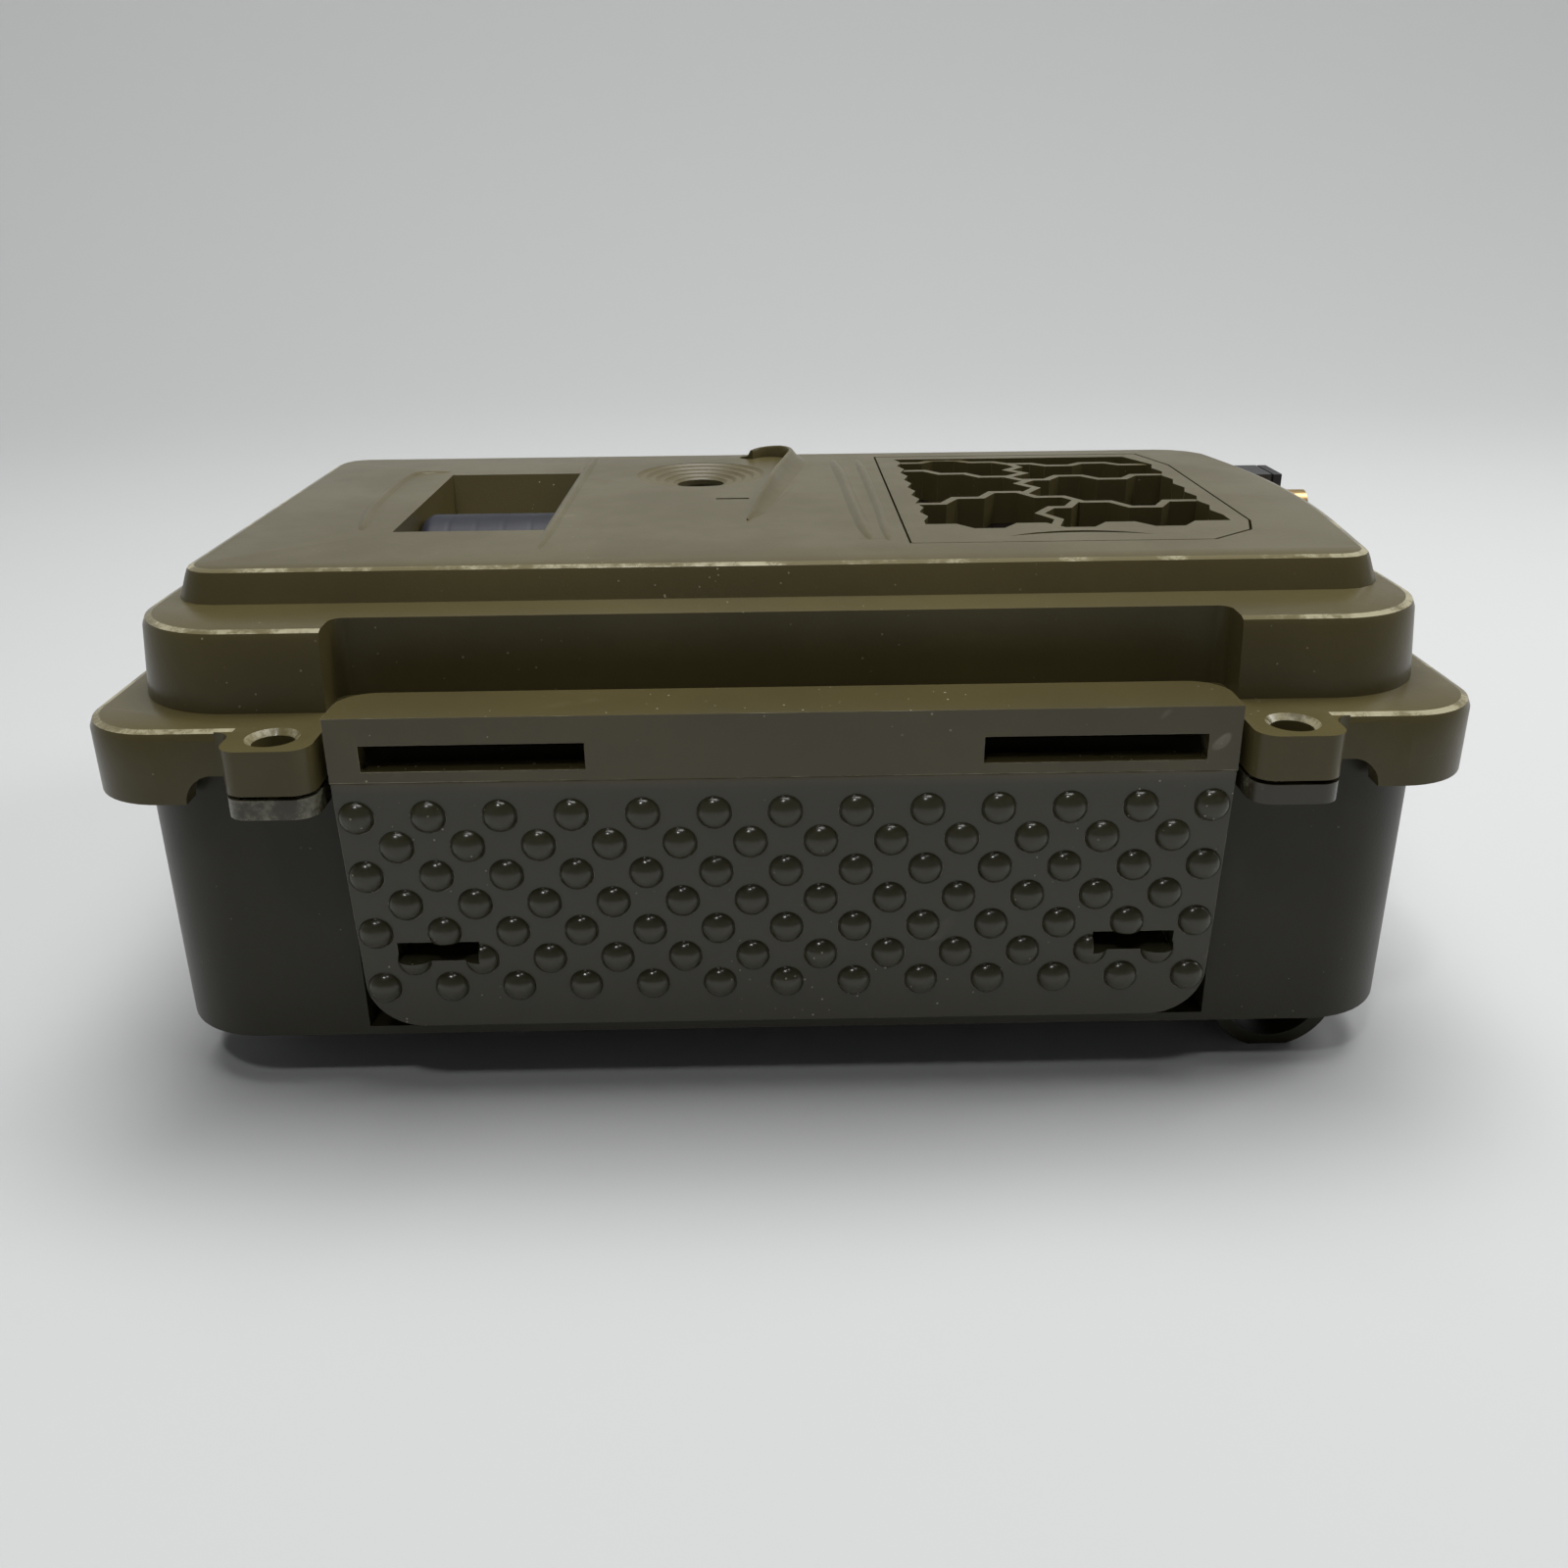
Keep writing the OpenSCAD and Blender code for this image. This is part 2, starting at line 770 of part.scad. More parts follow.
module cover_outer() {
    // flange with its rounded top edge
    translate([0, 0, plate_z - skirt_high])
        soft_block(flange_l, flange_d, flange_z - plate_z + skirt_high, flange_r, 0, edge_r);
    // low skirt at the ends and corners
    difference() {
        translate([0, 0, plate_z - skirt_low])
            round_box(flange_l, flange_d, skirt_low - skirt_high + eps, flange_r);
        skirt_cut(tub_l - 26.4, -flange_d / 2);
        translate([-flange_l, flange_d / 2 - 22, 0])
            cube([2 * flange_l, 40, 2 * rim_z]);
    }
    difference() {
        translate([0, 0, flange_z])
            soft_block(upper_l, upper_d, upper_h, upper_r, upper_draft, edge_r);
        // recess behind the latch's lip
        translate([0, recess_y - 20, flange_z])
            round_box(recess_w, 40, upper_h + 1, 1.6);
    }
    hull() {
        panel_slice(-panel_draft, upper_z - eps);
        panel_slice(0, panel_z - edge_r);
        panel_slice(edge_r * 0.29, panel_z - edge_r * 0.29);
        panel_slice(edge_r, panel_z - eps);
    }
    both_sides() {
        translate([0, 0, plate_z - skirt_high])
            linear_extrude(flange_z - plate_z + skirt_high) {
                ear_plan(-flange_d / 2 + 3);
                ear_fillet(-flange_d / 2);
            }
        // hinge knuckles
        for (s = [-1, 1])
            translate([hinge_x + s * (hinge_mid + hinge_side + 2 * hinge_gap) / 2, 0, hinge_z]) {
                translate([-hinge_side / 2, flange_d / 2 - 2, 0.4])
                    cube([hinge_side, hinge_y - flange_d / 2 + 2, hinge_r - 0.4]);
                translate([0, hinge_y, 0])
                    x_rod(hinge_r, hinge_side);
            }
    }
    // flat pads that the connectors are seated on
    translate([upper_l / 2 - 12, sma_y - pad_w / 2, flange_z - eps])
        cube([12 + upper_draft, pad_w, sma_z - flange_z + nut_r + 0.4]);
    translate([upper_l / 2 - 12, jack_y - pad_w / 2, flange_z - eps])
        cube([12 + upper_draft, pad_w, jack_z - flange_z + jack_box[2] / 2]);
    hood();
    front_band();
}

module grille_plan(grow) {
    x0 = grille_x0 - grow;
    x1 = grille_x1 + grow;
    y0 = grille_y0 - grow;
    y1 = grille_y1 + grow;
    polygon([[x0, y0], [x1 - 8, y0], [x1 - 1.6, y0 + 5.4], [x1, y0 + 11], [x1, y1 - 11], [x1 - 3, y1],
        [x0, y1]]);
}

module pir_pocket_shape() {
    // mouth at the panel, drawn in below, with a deeper room round the lens
    low = pir_z + pir_floor_t;
    translate([pir_x - pir_pocket[0] / 2, pir_pocket_y - pir_pocket[1] / 2, 0]) {
        hull() {
            translate([0, 0, panel_z])
                cube([pir_pocket[0], pir_pocket[1], 1]);
            translate([0.3, 1, low + pir_step])
                cube([pir_pocket[0] - 0.6, pir_pocket[1] - 3.5, 0.1]);
        }
        translate([0.3, 1, low])
            cube([pir_pocket[0] - 0.6, pir_pocket[1] - 14, pir_step + 0.1]);
    }
}

module lens_dish() {
    for (i = [0:dish_steps - 1])
        translate([lens_x, lens_y, panel_z - dish_step * (i + 1)]) {
            r = dish_r - i * (dish_r - dish_hole_r - 0.6) / (dish_steps - 1);
            cylinder(h = dish_step, r1 = r - dish_slope, r2 = r);
            translate([0, 0, dish_step - eps])
                cylinder(h = 3, r = r);
        }
    translate([lens_x, lens_y, panel_z - 5])
        cylinder(h = 6, r = dish_hole_r);
}

// room inside the lower step, leaving its wall behind the latch
module upper_room(h) {
    difference() {
        round_box(upper_l - 2 * roof_t, upper_d - 2 * roof_t, h, upper_r - roof_t);
        translate([-recess_w / 2 - roof_t, -upper_d, -1])
            cube([recess_w + 2 * roof_t, upper_d + recess_y + roof_t, h + 2]);
    }
}

module front_cover() {
    color([0.29, 0.27, 0.19])
    difference() {
        union() {
            difference() {
                cover_outer();
                // room for the rear housing inside the skirt
                translate([0, 0, plate_z - skirt_low - 1])
                    round_box(tub_l + 2 * skirt_gap, tub_d + 2 * skirt_gap, skirt_low + 1,
                        flange_r - skirt_t);
                // inside of the two steps
                translate([0, 0, plate_z - 1])
                    round_box(cave_l, cave_d, upper_z - roof_t - plate_z + 1, cave_r);
                translate([0, 0, plate_z])
                    round_box(cave_l, panel_d - 5, panel_z - roof_t - plate_z, cave_r);
                translate([0, 0, plate_z + wall])
                    upper_room(upper_z - roof_t - plate_z - wall);
            }
            // walls round the motion sensor's pocket
            translate([pir_x - pir_pocket[0] / 2 - 1.6, pir_pocket_y - pir_pocket[1] / 2 - 1.6, pir_z])
                cube([pir_pocket[0] + 3.2, pir_pocket[1] - 9, panel_z - pir_z - 1]);
            translate([pir_x - pir_pocket[0] / 2 - 1.6, pir_pocket_y, pir_z + pir_step])
                cube([pir_pocket[0] + 3.2, pir_pocket[1] / 2 + 1.4, panel_z - pir_z - pir_step - 1]);
            // screw bosses
            for (sx = [-1, 1], sy = [-1, 1])
                translate([sx * boss_x, sy * boss_y, plate_z])
                    cylinder(h = upper_z - roof_t - plate_z + 0.5, r = boss_r);
        }
        // notch in front of which the latch's lip lies
        translate([-notch_w / 2, notch_y - 20, plate_z - skirt_low - 1])
            cube([notch_w, 20, flange_t + skirt_low + 2]);
        pir_pocket_shape();
        // slot that the motion sensor's lens stands in
        translate([pir_x - pir_l / 2 - fit, pir_y - pir_r - fit, pir_z - 1])
            cube([pir_l + 2 * fit, 2 * (pir_r + fit), pir_floor_t + 2]);
        lens_dish();
        translate([light_x, light_y, panel_z - 4])
            cylinder(h = 5, r = light_r + fit / 2);
        translate([mic_x - mic[0] / 2, mic_y - mic[1] / 2, panel_z - 4])
            cube([mic[0], mic[1], 5]);
        translate([0, 0, panel_z - roof_t - 1])
            linear_extrude(roof_t + 3)
                grille_plan(grille_seam);
        // bores
        both_sides() {
            translate([padlock_x, padlock_y, plate_z - 6])
                cylinder(h = 12, r = padlock_d / 2);
            translate([padlock_x, padlock_y, flange_z - padlock_sink])
                cylinder(h = padlock_sink + eps, r1 = padlock_d / 2, r2 = padlock_d / 2 + padlock_sink);
            translate([hinge_x, hinge_y, hinge_z])
                x_rod(hinge_pin_r + running, hinge_mid + 2 * hinge_side + 4);
        }
        for (sx = [-1, 1], sy = [-1, 1])
            translate([sx * boss_x, sy * boss_y, plate_z - 1])
                cylinder(h = 8, r = screw_r + snug);
        translate([end_x - 6, sma_y, sma_z])
            rotate([0, 90, 0])
                cylinder(h = 12, r = sma_r + fit / 2);
        translate([end_x - 10, jack_y, jack_z])
            rotate([0, 90, 0])
                cylinder(h = 12, r = jack_bore_r + jack_wall);
    }
}

module pir_lens() {
    color([0.45, 0.45, 0.52])
    difference() {
        union() {
            translate([pir_x, pir_y, pir_z])
                x_rod(pir_r, pir_l);
            translate([pir_x - pir_l / 2 - 1.2, pir_y - pir_r - 1.2, pir_z - 1])
                cube([pir_l + 2.4, 2 * pir_r + 2.4, 1]);
        }
        translate([pir_x, pir_y, pir_z])
            x_rod(pir_r - pir_wall, pir_l - 2 * pir_wall);
        translate([pir_x - pir_l, pir_y - 2 * pir_r, pir_z - 1 - 2 * pir_r])
            cube([2 * pir_l, 4 * pir_r, 2 * pir_r]);
        translate([pir_x - pir_l / 2 + pir_wall, pir_y - pir_r + pir_wall, pir_z - 2])
            cube([pir_l - 2 * pir_wall, 2 * (pir_r - pir_wall), 2]);
    }
}

module pir_sensor() {
    color([0.7, 0.7, 0.66])
    translate([pir_x, pir_y, board_top]) {
        cylinder(h = 4.2, r = 4.1);
        cylinder(h = 0.6, r = 4.6);
    }
}

module lens_window() {
    color([0.3, 0.35, 0.4, 0.5])
    translate([lens_x, lens_y, panel_z - roof_t - window_t])
        cylinder(h = window_t, r = barrel_r + 1.2);
}

module lens_barrel() {
    color([0.06, 0.06, 0.06])
    translate([lens_x, lens_y, board_top + 3])
        difference() {
            union() {
                cylinder(h = panel_z - roof_t - window_t - seat - board_top - 3, r = barrel_r);
                cylinder(h = 1.4, r = barrel_r + 1);
            }
            translate([0, 0, 2])
                cylinder(h = 20, r = barrel_r - 1.6);
        }
}

module lens_glass() {
    color([0.2, 0.24, 0.35, 0.6])
    translate([lens_x, lens_y, board_top + 5]) {
        cylinder(h = 1.2, r = barrel_r - 1.6 - snug);
        intersection() {
            translate([0, 0, -6.2])
                sphere(r = 8.4);
            translate([0, 0, 1])
                cylinder(h = 3, r = barrel_r - 1.8);
        }
    }
}

module sensor_block() {
    color([0.1, 0.1, 0.1])
    translate([lens_x - 8.5, lens_y - 8.5, board_top])
        cube([17, 17, 3]);
}

module status_light() {
    color([0.7, 0.75, 0.7])
    translate([light_x, light_y, board_top])
        cylinder(h = panel_z - 0.6 - board_top, r = light_r);
}

module microphone() {
    color([0.7, 0.6, 0.4])
    translate([mic_x, mic_y, board_top])
        cylinder(h = 2.4, r = 3);
}

// ribs: each path climbs and falls in level steps
rib_x0 = grille_x0 + 3.2;
rib_run = (grille_x1 - grille_x0 - 4.4) / 7;
rib_flat = 0.66 * rib_run;
function steps(x0, x1, y, rise, levels) = let (last = len(levels) - 1)
    [for (i = [0:last]) each [[i == 0 ? x0 : rib_x0 + i * rib_run, y + rise * levels[i]],
        [i == last ? x1 : rib_x0 + i * rib_run + rib_flat, y + rise * levels[i]]]];
function row(y, rise, levels) = steps(grille_x0 + 1, grille_x1 - 1, y, rise, levels);
row_1 = row(0.6, 4, [-1, 0, 1, 0, -1, -2, -1]);
row_2 = row(20.2, 3, [1, 0, -1, -2, -1, -2, -1]);
row_3 = row(28.4, 2, [1, 2, 1, 0, -1, 0, -1]);
front_edge = steps(grille_x0 + 3, grille_x1 - 2.4, -18.6, 3, [0, -1, 0, -1, 0, -1, 0]);
cross_x = (grille_x0 + grille_x1) / 2;
function cross(path) = [for (p = path) [cross_x + p[0], p[1]]];
cross_1 = cross([[3.3, -2.4], [1.2, -7], [-1.3, -7], [-3.7, -11], [-1.7, -15.2], [-3.5, -21]]);
cross_2 = cross([[-0.4, 14.4], [-3.1, 11.2], [-0.9, 7.6], [-3.5, 3.4]]);
cross_3 = cross([[-3.9, 17], [-0.7, 20], [-3, 22.8], [-0.7, 25.4], [-2.1, 29]]);

// radius of an arc from its chord and its rise
function arc_r(chord, rise) = (chord * chord / 4 + rise * rise) / (2 * rise);

// outline of a rib with mitred corners
function across(d) = [-d[1], d[0]] / norm(d);
function mitre(p, i) = let (
    n0 = across(i == 0 ? p[1] - p[0] : p[i] - p[i - 1]),
    n1 = i == len(p) - 1 ? n0 : across(p[i + 1] - p[i]))
    (n0 + n1) / (1 + n0 * n1);

module rib(path) {
    n = len(path) - 1;
    polygon(concat([for (i = [0:n]) path[i] + rib_t / 2 * mitre(path, i)],
        [for (i = [n:-1:0]) path[i] - rib_t / 2 * mitre(path, i)]));
}

// a run of small teeth from y0 to y1
function teeth(x, y0, y1, n, deep) = [for (k = [0:2 * n]) [x + (k % 2) * deep, y0 + (y1 - y0) * k / (2 * n)]];

module grille_hole() {
    polygon(concat(front_edge, teeth(grille_x1 - 2.4, -15, grille_y1 - 10, 6, -tooth),
        [[grille_x1 - 5.6, grille_y1 - 2.4]], teeth(grille_x0 + 3, grille_y1 - 2.4, -16.5, 8, tooth)));
}

// leaf-shaped slit in the frame, between two arcs over one chord
module pull_slit() {
    outer = arc_r(slit_l, slit_rise);
    inner = arc_r(slit_l, slit_rise - slit_w);
    translate([(grille_x0 + grille_x1) / 2 - 0.7, slit_y + slit_rise, panel_z - slit_deep])
        difference() {
            translate([0, -outer, 0])
                cylinder(h = slit_deep + 1, r = outer);
            translate([0, -inner - slit_w, -1])
                cylinder(h = slit_deep + 3, r = inner);
        }
}

module flash_grille() {
    color([0.29, 0.27, 0.19]) {
        difference() {
            union() {
                translate([0, 0, panel_z - roof_t - eps])
                    linear_extrude(roof_t + eps)
                        grille_plan(0);
                translate([0, 0, grille_low])
                    linear_extrude(grille_h - roof_t)
                        grille_plan(grille_flange);
            }
            translate([0, 0, grille_low - 1])
                linear_extrude(grille_h + 2)
                    grille_hole();
            pull_slit();
        }
        translate([0, 0, grille_low])
            linear_extrude(grille_h - 0.3)
                intersection() {
                    union() {
                        rib(row_1);
                        rib(row_2);
                        rib(row_3);
                        rib(cross_1);
                        rib(cross_2);
                        rib(cross_3);
                    }
                    grille_plan(-1);
                }
    }
}

module flash_window() {
    color([0.05, 0.03, 0.04])
    translate([0, 0, grille_low - glass_t])
        linear_extrude(glass_t)
            grille_plan(grille_flange);
}

module led_board() {
    color([0.1, 0.2, 0.12])
    translate([grille_x0, grille_y0, led_board_z])
        cube([board_l / 2 - grille_x0, grille_y1 - grille_y0, led_board_t]);
}

led_cols = 5;
led_rows = 7;
led_pitch = 8.4;

module flash_leds() {
    color([0.6, 0.62, 0.66])
    for (i = [0:led_cols - 1], j = [0:led_rows - 1])
        translate([grille_x0 + 5.4 + i * led_pitch, grille_y0 + 6.6 + j * led_pitch, led_board_z + led_board_t]) {
            cylinder(h = led_h - led_d / 2 + 1, r = led_d / 2);
            intersection() {
                translate([0, 0, led_h - led_d / 2])
                    sphere(r = led_d / 2);
                translate([0, 0, led_h - led_d / 2 + 1 - eps])
                    cylinder(h = led_d, r = led_d);
            }
        }
}

module led_spacers() {
    color([0.8, 0.7, 0.4])
    for (x = [grille_x0 + 2, board_l / 2 - 2], y = [grille_y0 + 2, grille_y1 - 2])
        translate([x, y, board_top])
            cylinder(h = led_board_z - board_top, r = 1.5);
}

module main_board() {
    color([0.1, 0.25, 0.15])
    difference() {
        translate([-board_l / 2, -board_d / 2, board_z])
            cube([board_l, board_d, board_t]);
        for (sx = [-1, 1], sy = [-1, 1])
            translate([sx * post_x, sy * post_y, board_z - 1])
                cylinder(h = board_t + 2, r = screw_r + 0.15);
    }
}

module board_spacers() {
    color([0.75, 0.7, 0.5])
    for (sx = [-1, 1], sy = [-1, 1])
        translate([sx * post_x, sy * post_y, plate_z])
            tube(screw_r + 0.15, 2.6, board_z - plate_z);
}

module board_screws() {
    color([0.6, 0.6, 0.62])
    for (sx = [-1, 1], sy = [-1, 1])
        translate([sx * post_x, sy * post_y, board_top])
            mirror([0, 0, 1])
                screw(screw_r, board_t + board_z - plate_z + 1, 2.2, 1.2);
}

module processor() {
    color([0.08, 0.08, 0.09])
    translate([-14, -24, board_top])
        cube([16, 16, 1.4]);
}

module display() {
    color([0.12, 0.13, 0.15])
    translate([display_x - display_l / 2, -display_d / 2, plate_z])
        cube([display_l, display_d, display_t]);
}

module display_window() {
    color([0.3, 0.34, 0.38, 0.5])
    translate([display_x - view_l / 2 - 1 + fit, -view_d / 2 - 1 + fit, inner_z])
        cube([view_l + 2 - 2 * fit, view_d + 2 - 2 * fit, 1.2]);
}

module key_switches() {
    color([0.5, 0.5, 0.52])
    for (k = keys)
        translate([k[0], k[1], board_z - key_switch_h])
            difference() {
                translate([-3, -3, 0])
                    cube([6, 6, key_switch_h]);
                translate([0, 0, -1])
                    cylinder(h = key_switch_h, r = 1.75 + 0.2);
            }
}

module mode_switch() {
    color([0.5, 0.5, 0.52])
    difference() {
        translate([knob_x - 5, knob_y - 2.5, board_z - 2])
            cube([10 + switch_travel, 5, 2]);
        translate([knob_x - knob_w / 2 - 0.4, knob_y - 1, board_z - 3])
            cube([knob_w + switch_travel + 0.8, 2, 2.2]);
    }
}

module card_socket() {
    color([0.7, 0.7, 0.7])
    difference() {
        translate([card_x - card[0] / 2 - socket_wall - 0.2, card_y - card[1] / 2 + 5, card_z - 0.6])
            cube([card[0] + 2 * socket_wall + 0.4, card[1] - 5 + socket_wall, board_z - card_z + 0.6]);
        translate([card_x - card[0] / 2 - 0.2, card_y - card[1] / 2 - 1, card_z - 0.1])
            cube([card[0] + 0.4, card[1] + 1.2, card[2] + 0.2]);
    }
}

module inner_plate() {
    color([0.16, 0.16, 0.15])
    difference() {
        translate([0, 0, inner_z])
            round_box(inner_l, inner_d, inner_t, cave_r + 1);
        for (sx = [-1, 1], sy = [-1, 1]) {
            translate([sx * boss_x, sy * boss_y, inner_z - 1])
                cylinder(h = inner_t + 2, r = screw_r + 0.2);
            translate([sx * boss_x, sy * boss_y, inner_z - 1])
                cylinder(h = 1 + 1.2, r = 2.6);
            translate([sx * post_x, sy * post_y, plate_z - 1.2])
                cylinder(h = 2, r = screw_r + snug);
        }
        // window and its seat
        translate([display_x - view_l / 2, -view_d / 2, inner_z - 1])
            cube([view_l, view_d, inner_t + 2]);
        translate([display_x - view_l / 2 - 1, -view_d / 2 - 1, inner_z - 1])
            cube([view_l + 2, view_d + 2, 1 + 1.2]);
        for (k = keys)
            translate([k[0], k[1], inner_z - 1])
                cylinder(h = inner_t + 2, r = button_d / 2 + 0.3);
        translate([knob_x - knob_w / 2 - 0.4, knob_y - 1.9, inner_z - 1])
            cube([knob_w + switch_travel + 0.8, 3.8, inner_t + 2]);
        // window that the memory card is taken out through
        translate([card_x - card[0] / 2 - 1, card_y - card[1] / 2 - card_travel - 1, inner_z - 1])
            cube([card[0] + 2, card_travel + 5.6, inner_t + 2]);
    }
}

module plate_screws() {
    color([0.6, 0.6, 0.62])
    for (sx = [-1, 1], sy = [-1, 1])
        translate([sx * boss_x, sy * boss_y, inner_z + 1.2])
            screw(screw_r, 7, 2.3, 1.1);
}

module door_contacts() {
    color([0.8, 0.65, 0.3])
    for (s = [-1, 1])
        translate([tray_l / 2 + 4, terminal_y + s * 2.5, 0]) {
            translate([-4, -1.2, inner_z - 0.5])
                cube([8, 2.4, 0.5]);
            translate([-1.5, -1.2, terminal_top + 0.6 + seat])
                cube([3, 2.4, inner_z - terminal_top - 0.6 - seat]);
        }
}

module antenna_jack() {
    color([0.85, 0.68, 0.3])
    translate([end_x - sma_in, sma_y, sma_z])
        rotate([0, 90, 0])
            difference() {
                union() {
                    cylinder(h = sma_neck_l, r = sma_neck_r);
                    translate([0, 0, sma_neck_l])
                        cylinder(h = sma_l, r = sma_r);
                }
                translate([0, 0, 6])
                    cylinder(h = 20, r = 2.3);
            }
    color([0.85, 0.68, 0.3])
    translate([end_x - sma_in, sma_y, sma_z])
        rotate([0, 90, 0]) {
            cylinder(h = sma_neck_l + sma_l - 1.6, r = 0.65);
            translate([-2, -4, 0])
                cube([6, 8, sma_base_t]);
        }
}

module antenna_washer() {
    color([0.8, 0.66, 0.3])
    translate([end_x, sma_y, sma_z])
        rotate([0, 90, 0])
            tube(sma_r + snug, nut_r + 0.4, washer_t);
}

module antenna_nut() {
    color([0.85, 0.68, 0.3])
    translate([end_x + washer_t, sma_y, sma_z])
        rotate([0, 90, 0])
            difference() {
                cylinder(h = nut_t, r = nut_r, $fn = 6);
                translate([0, 0, -1])
                    cylinder(h = nut_t + 2, r = sma_neck_r + snug);
            }
}

module power_jack() {
    color([0.07, 0.07, 0.08])
    difference() {
        union() {
            translate([end_x, jack_y - jack_box[1] / 2, jack_z - jack_box[2] / 2])
                cube(jack_box);
            translate([end_x - 9, jack_y, jack_z])
                rotate([0, 90, 0])
                    cylinder(h = 10, r = jack_bore_r + jack_wall - snug);
        }
        translate([end_x - 6, jack_y, jack_z])
            rotate([0, 90, 0])
                cylinder(h = 20, r = jack_bore_r);
    }
}

module jack_cap() {
    color([0.08, 0.08, 0.09]) {
        translate([end_x + jack_box[0] + seat, jack_y - jack_box[1] / 2, jack_z - jack_box[2] / 2])
            cube([cap_t, jack_box[1], jack_box[2]]);
        translate([end_x + jack_box[0] + seat - cap_l, jack_y, jack_z])
            rotate([0, 90, 0])
                cylinder(h = cap_l + eps, r = jack_bore_r - running);
    }
}

// ---------- keys, switch and card ----------

module button(k) {
    color([0.35, 0.35, 0.36])
    translate([keys[k][0], keys[k][1], 0]) {
        translate([0, 0, inner_z - key_low])
            cylinder(h = inner_t + key_low + eps, r = button_d / 2);
        translate([0, 0, plate_z + 0.1])
            cylinder(h = 0.7, r = button_d / 2 + 0.8);
        translate([0, 0, plate_z])
            cylinder(h = board_z - key_switch_h - plate_z + 0.3, r = 1.75);
    }
}

module up_button() { button(0); }
module down_button() { button(1); }
module left_button() { button(2); }
module right_button() { button(3); }
module ok_button() { button(4); }
module menu_button() { button(5); }

module mode_knob() {
    color([0.6, 0.6, 0.58])
    translate([knob_x, knob_y, 0]) {
        translate([-knob_w / 2, -1.6, inner_z - 0.8])
            cube([knob_w, 3.2, inner_t + 1.2]);
        translate([-knob_w / 2, -0.8, inner_z])
            cube([knob_w, 1.6, board_z - 1 - inner_z]);
    }
}

module memory_card() {
    color([0.1, 0.12, 0.2])
    translate([card_x - card[0] / 2, card_y - card[1] / 2, card_z])
        linear_extrude(card[2])
            polygon([[0, 0], [card[0], 0], [card[0], card[1] - 4], [card[0] - 4, card[1]], [0, card[1]]]);
}

// ---------- latch ----------

// the latch seen from its end
module latch_profile() {
    lip_y = latch_y + lip_d;
    polygon([[latch_foot_y, latch_low], [latch_y + 0.3, band_z], [latch_y, band_z + 0.4],
        [latch_y, latch_top], [lip_y, latch_top], [lip_y, latch_top - lip_t],
        [latch_y + latch_t + 0.4, latch_top - lip_t], [latch_y + latch_t + 0.4, band_z],
        [latch_foot_y + latch_t - 0.1, latch_low]]);
}

// keeps the lip's back corners round, and all that lies under the band
module lip_room() {
    lip_y = latch_y + lip_d;
    translate([-latch_w, -tub_d, 0])
        cube([2 * latch_w, tub_d, band_z]);
    translate([0, 0, band_z - eps])
        linear_extrude(latch_top) {
            translate([-latch_w / 2, latch_y - 1])
                square([latch_w, lip_d + 1 - lip_r]);
            translate([lip_r - latch_w / 2, lip_y - lip_r - eps])
                square([latch_w - 2 * lip_r, lip_r + eps]);
            for (s = [-1, 1])
                translate([s * (latch_w / 2 - lip_r), lip_y - lip_r])
                    circle(lip_r);
        }
}

module latch_front() {
    translate([-latch_w / 2, latch_low + latch_r])
        square([latch_w, latch_top - latch_low - latch_r + 1]);
    translate([latch_r - latch_w / 2, latch_low])
        square([latch_w - 2 * latch_r, latch_r + 1]);
    for (s = [-1, 1])
        translate([s * (latch_w / 2 - latch_r), latch_low + latch_r])
            circle(latch_r);
}

// where the slanted face lies at a given height
function face_y(z) = latch_foot_y + (latch_y + 0.3 - latch_foot_y) * (z - latch_low) / (band_z - latch_low);

module domes() {
    ball_r = (dome_d * dome_d / 4 + dome_h * dome_h) / (2 * dome_h);
    for (row = [0:dome_rows - 1])
        for (k = [0:dome_cols - 1 - row % 2])
            translate([(k - (dome_cols - 1 - row % 2) / 2) * dome_pitch,
                face_y(dome_first_z - row * dome_row_pitch) + ball_r - dome_h,
                dome_first_z - row * dome_row_pitch])
                sphere(r = ball_r);
}

module latch() {
    color([0.29, 0.27, 0.22])
    difference() {
        union() {
            intersection() {
                rotate([90, 0, 90])
                    linear_extrude(latch_w + 2, center = true)
                        latch_profile();
                rotate([90, 0, 0])
                    linear_extrude(200, center = true)
                        latch_front();
                lip_room();
            }
            // domes stand out of the slanted face only
            intersection() {
                domes();
                rotate([90, 0, 90])
                    linear_extrude(latch_w, center = true)
                        polygon([[latch_foot_y - 3, latch_low], [latch_y - 3, band_z + 1],
                            [latch_y + 1.4, band_z + 1], [latch_foot_y + 1, latch_low]]);
            }
            // knuckles
            both_sides() {
                translate([knuckle_x, pivot_y, pivot_z])
                    x_rod(knuckle_r, knuckle_w);
                translate([knuckle_x - knuckle_w / 2, face_y(pivot_z) + 1, pivot_z - knuckle_r])
                    cube([knuckle_w, pivot_y - face_y(pivot_z) - 1, 2 * knuckle_r]);
            }
        }
        both_sides() {
            translate([knuckle_x, pivot_y, pivot_z])
                x_rod(pivot_r + running, knuckle_w + 2);
            translate([slot_big_x - slot_big[0] / 2, latch_y - 5, latch_top - lip_t - slot_big[1]])
                cube([slot_big[0], 5 + latch_t + 2, slot_big[1]]);
            translate([knuckle_x - slot_small[0] / 2, latch_y - 5, slot_small_z])
                cube([slot_small[0], 12, slot_small[1]]);
        }
    }
}

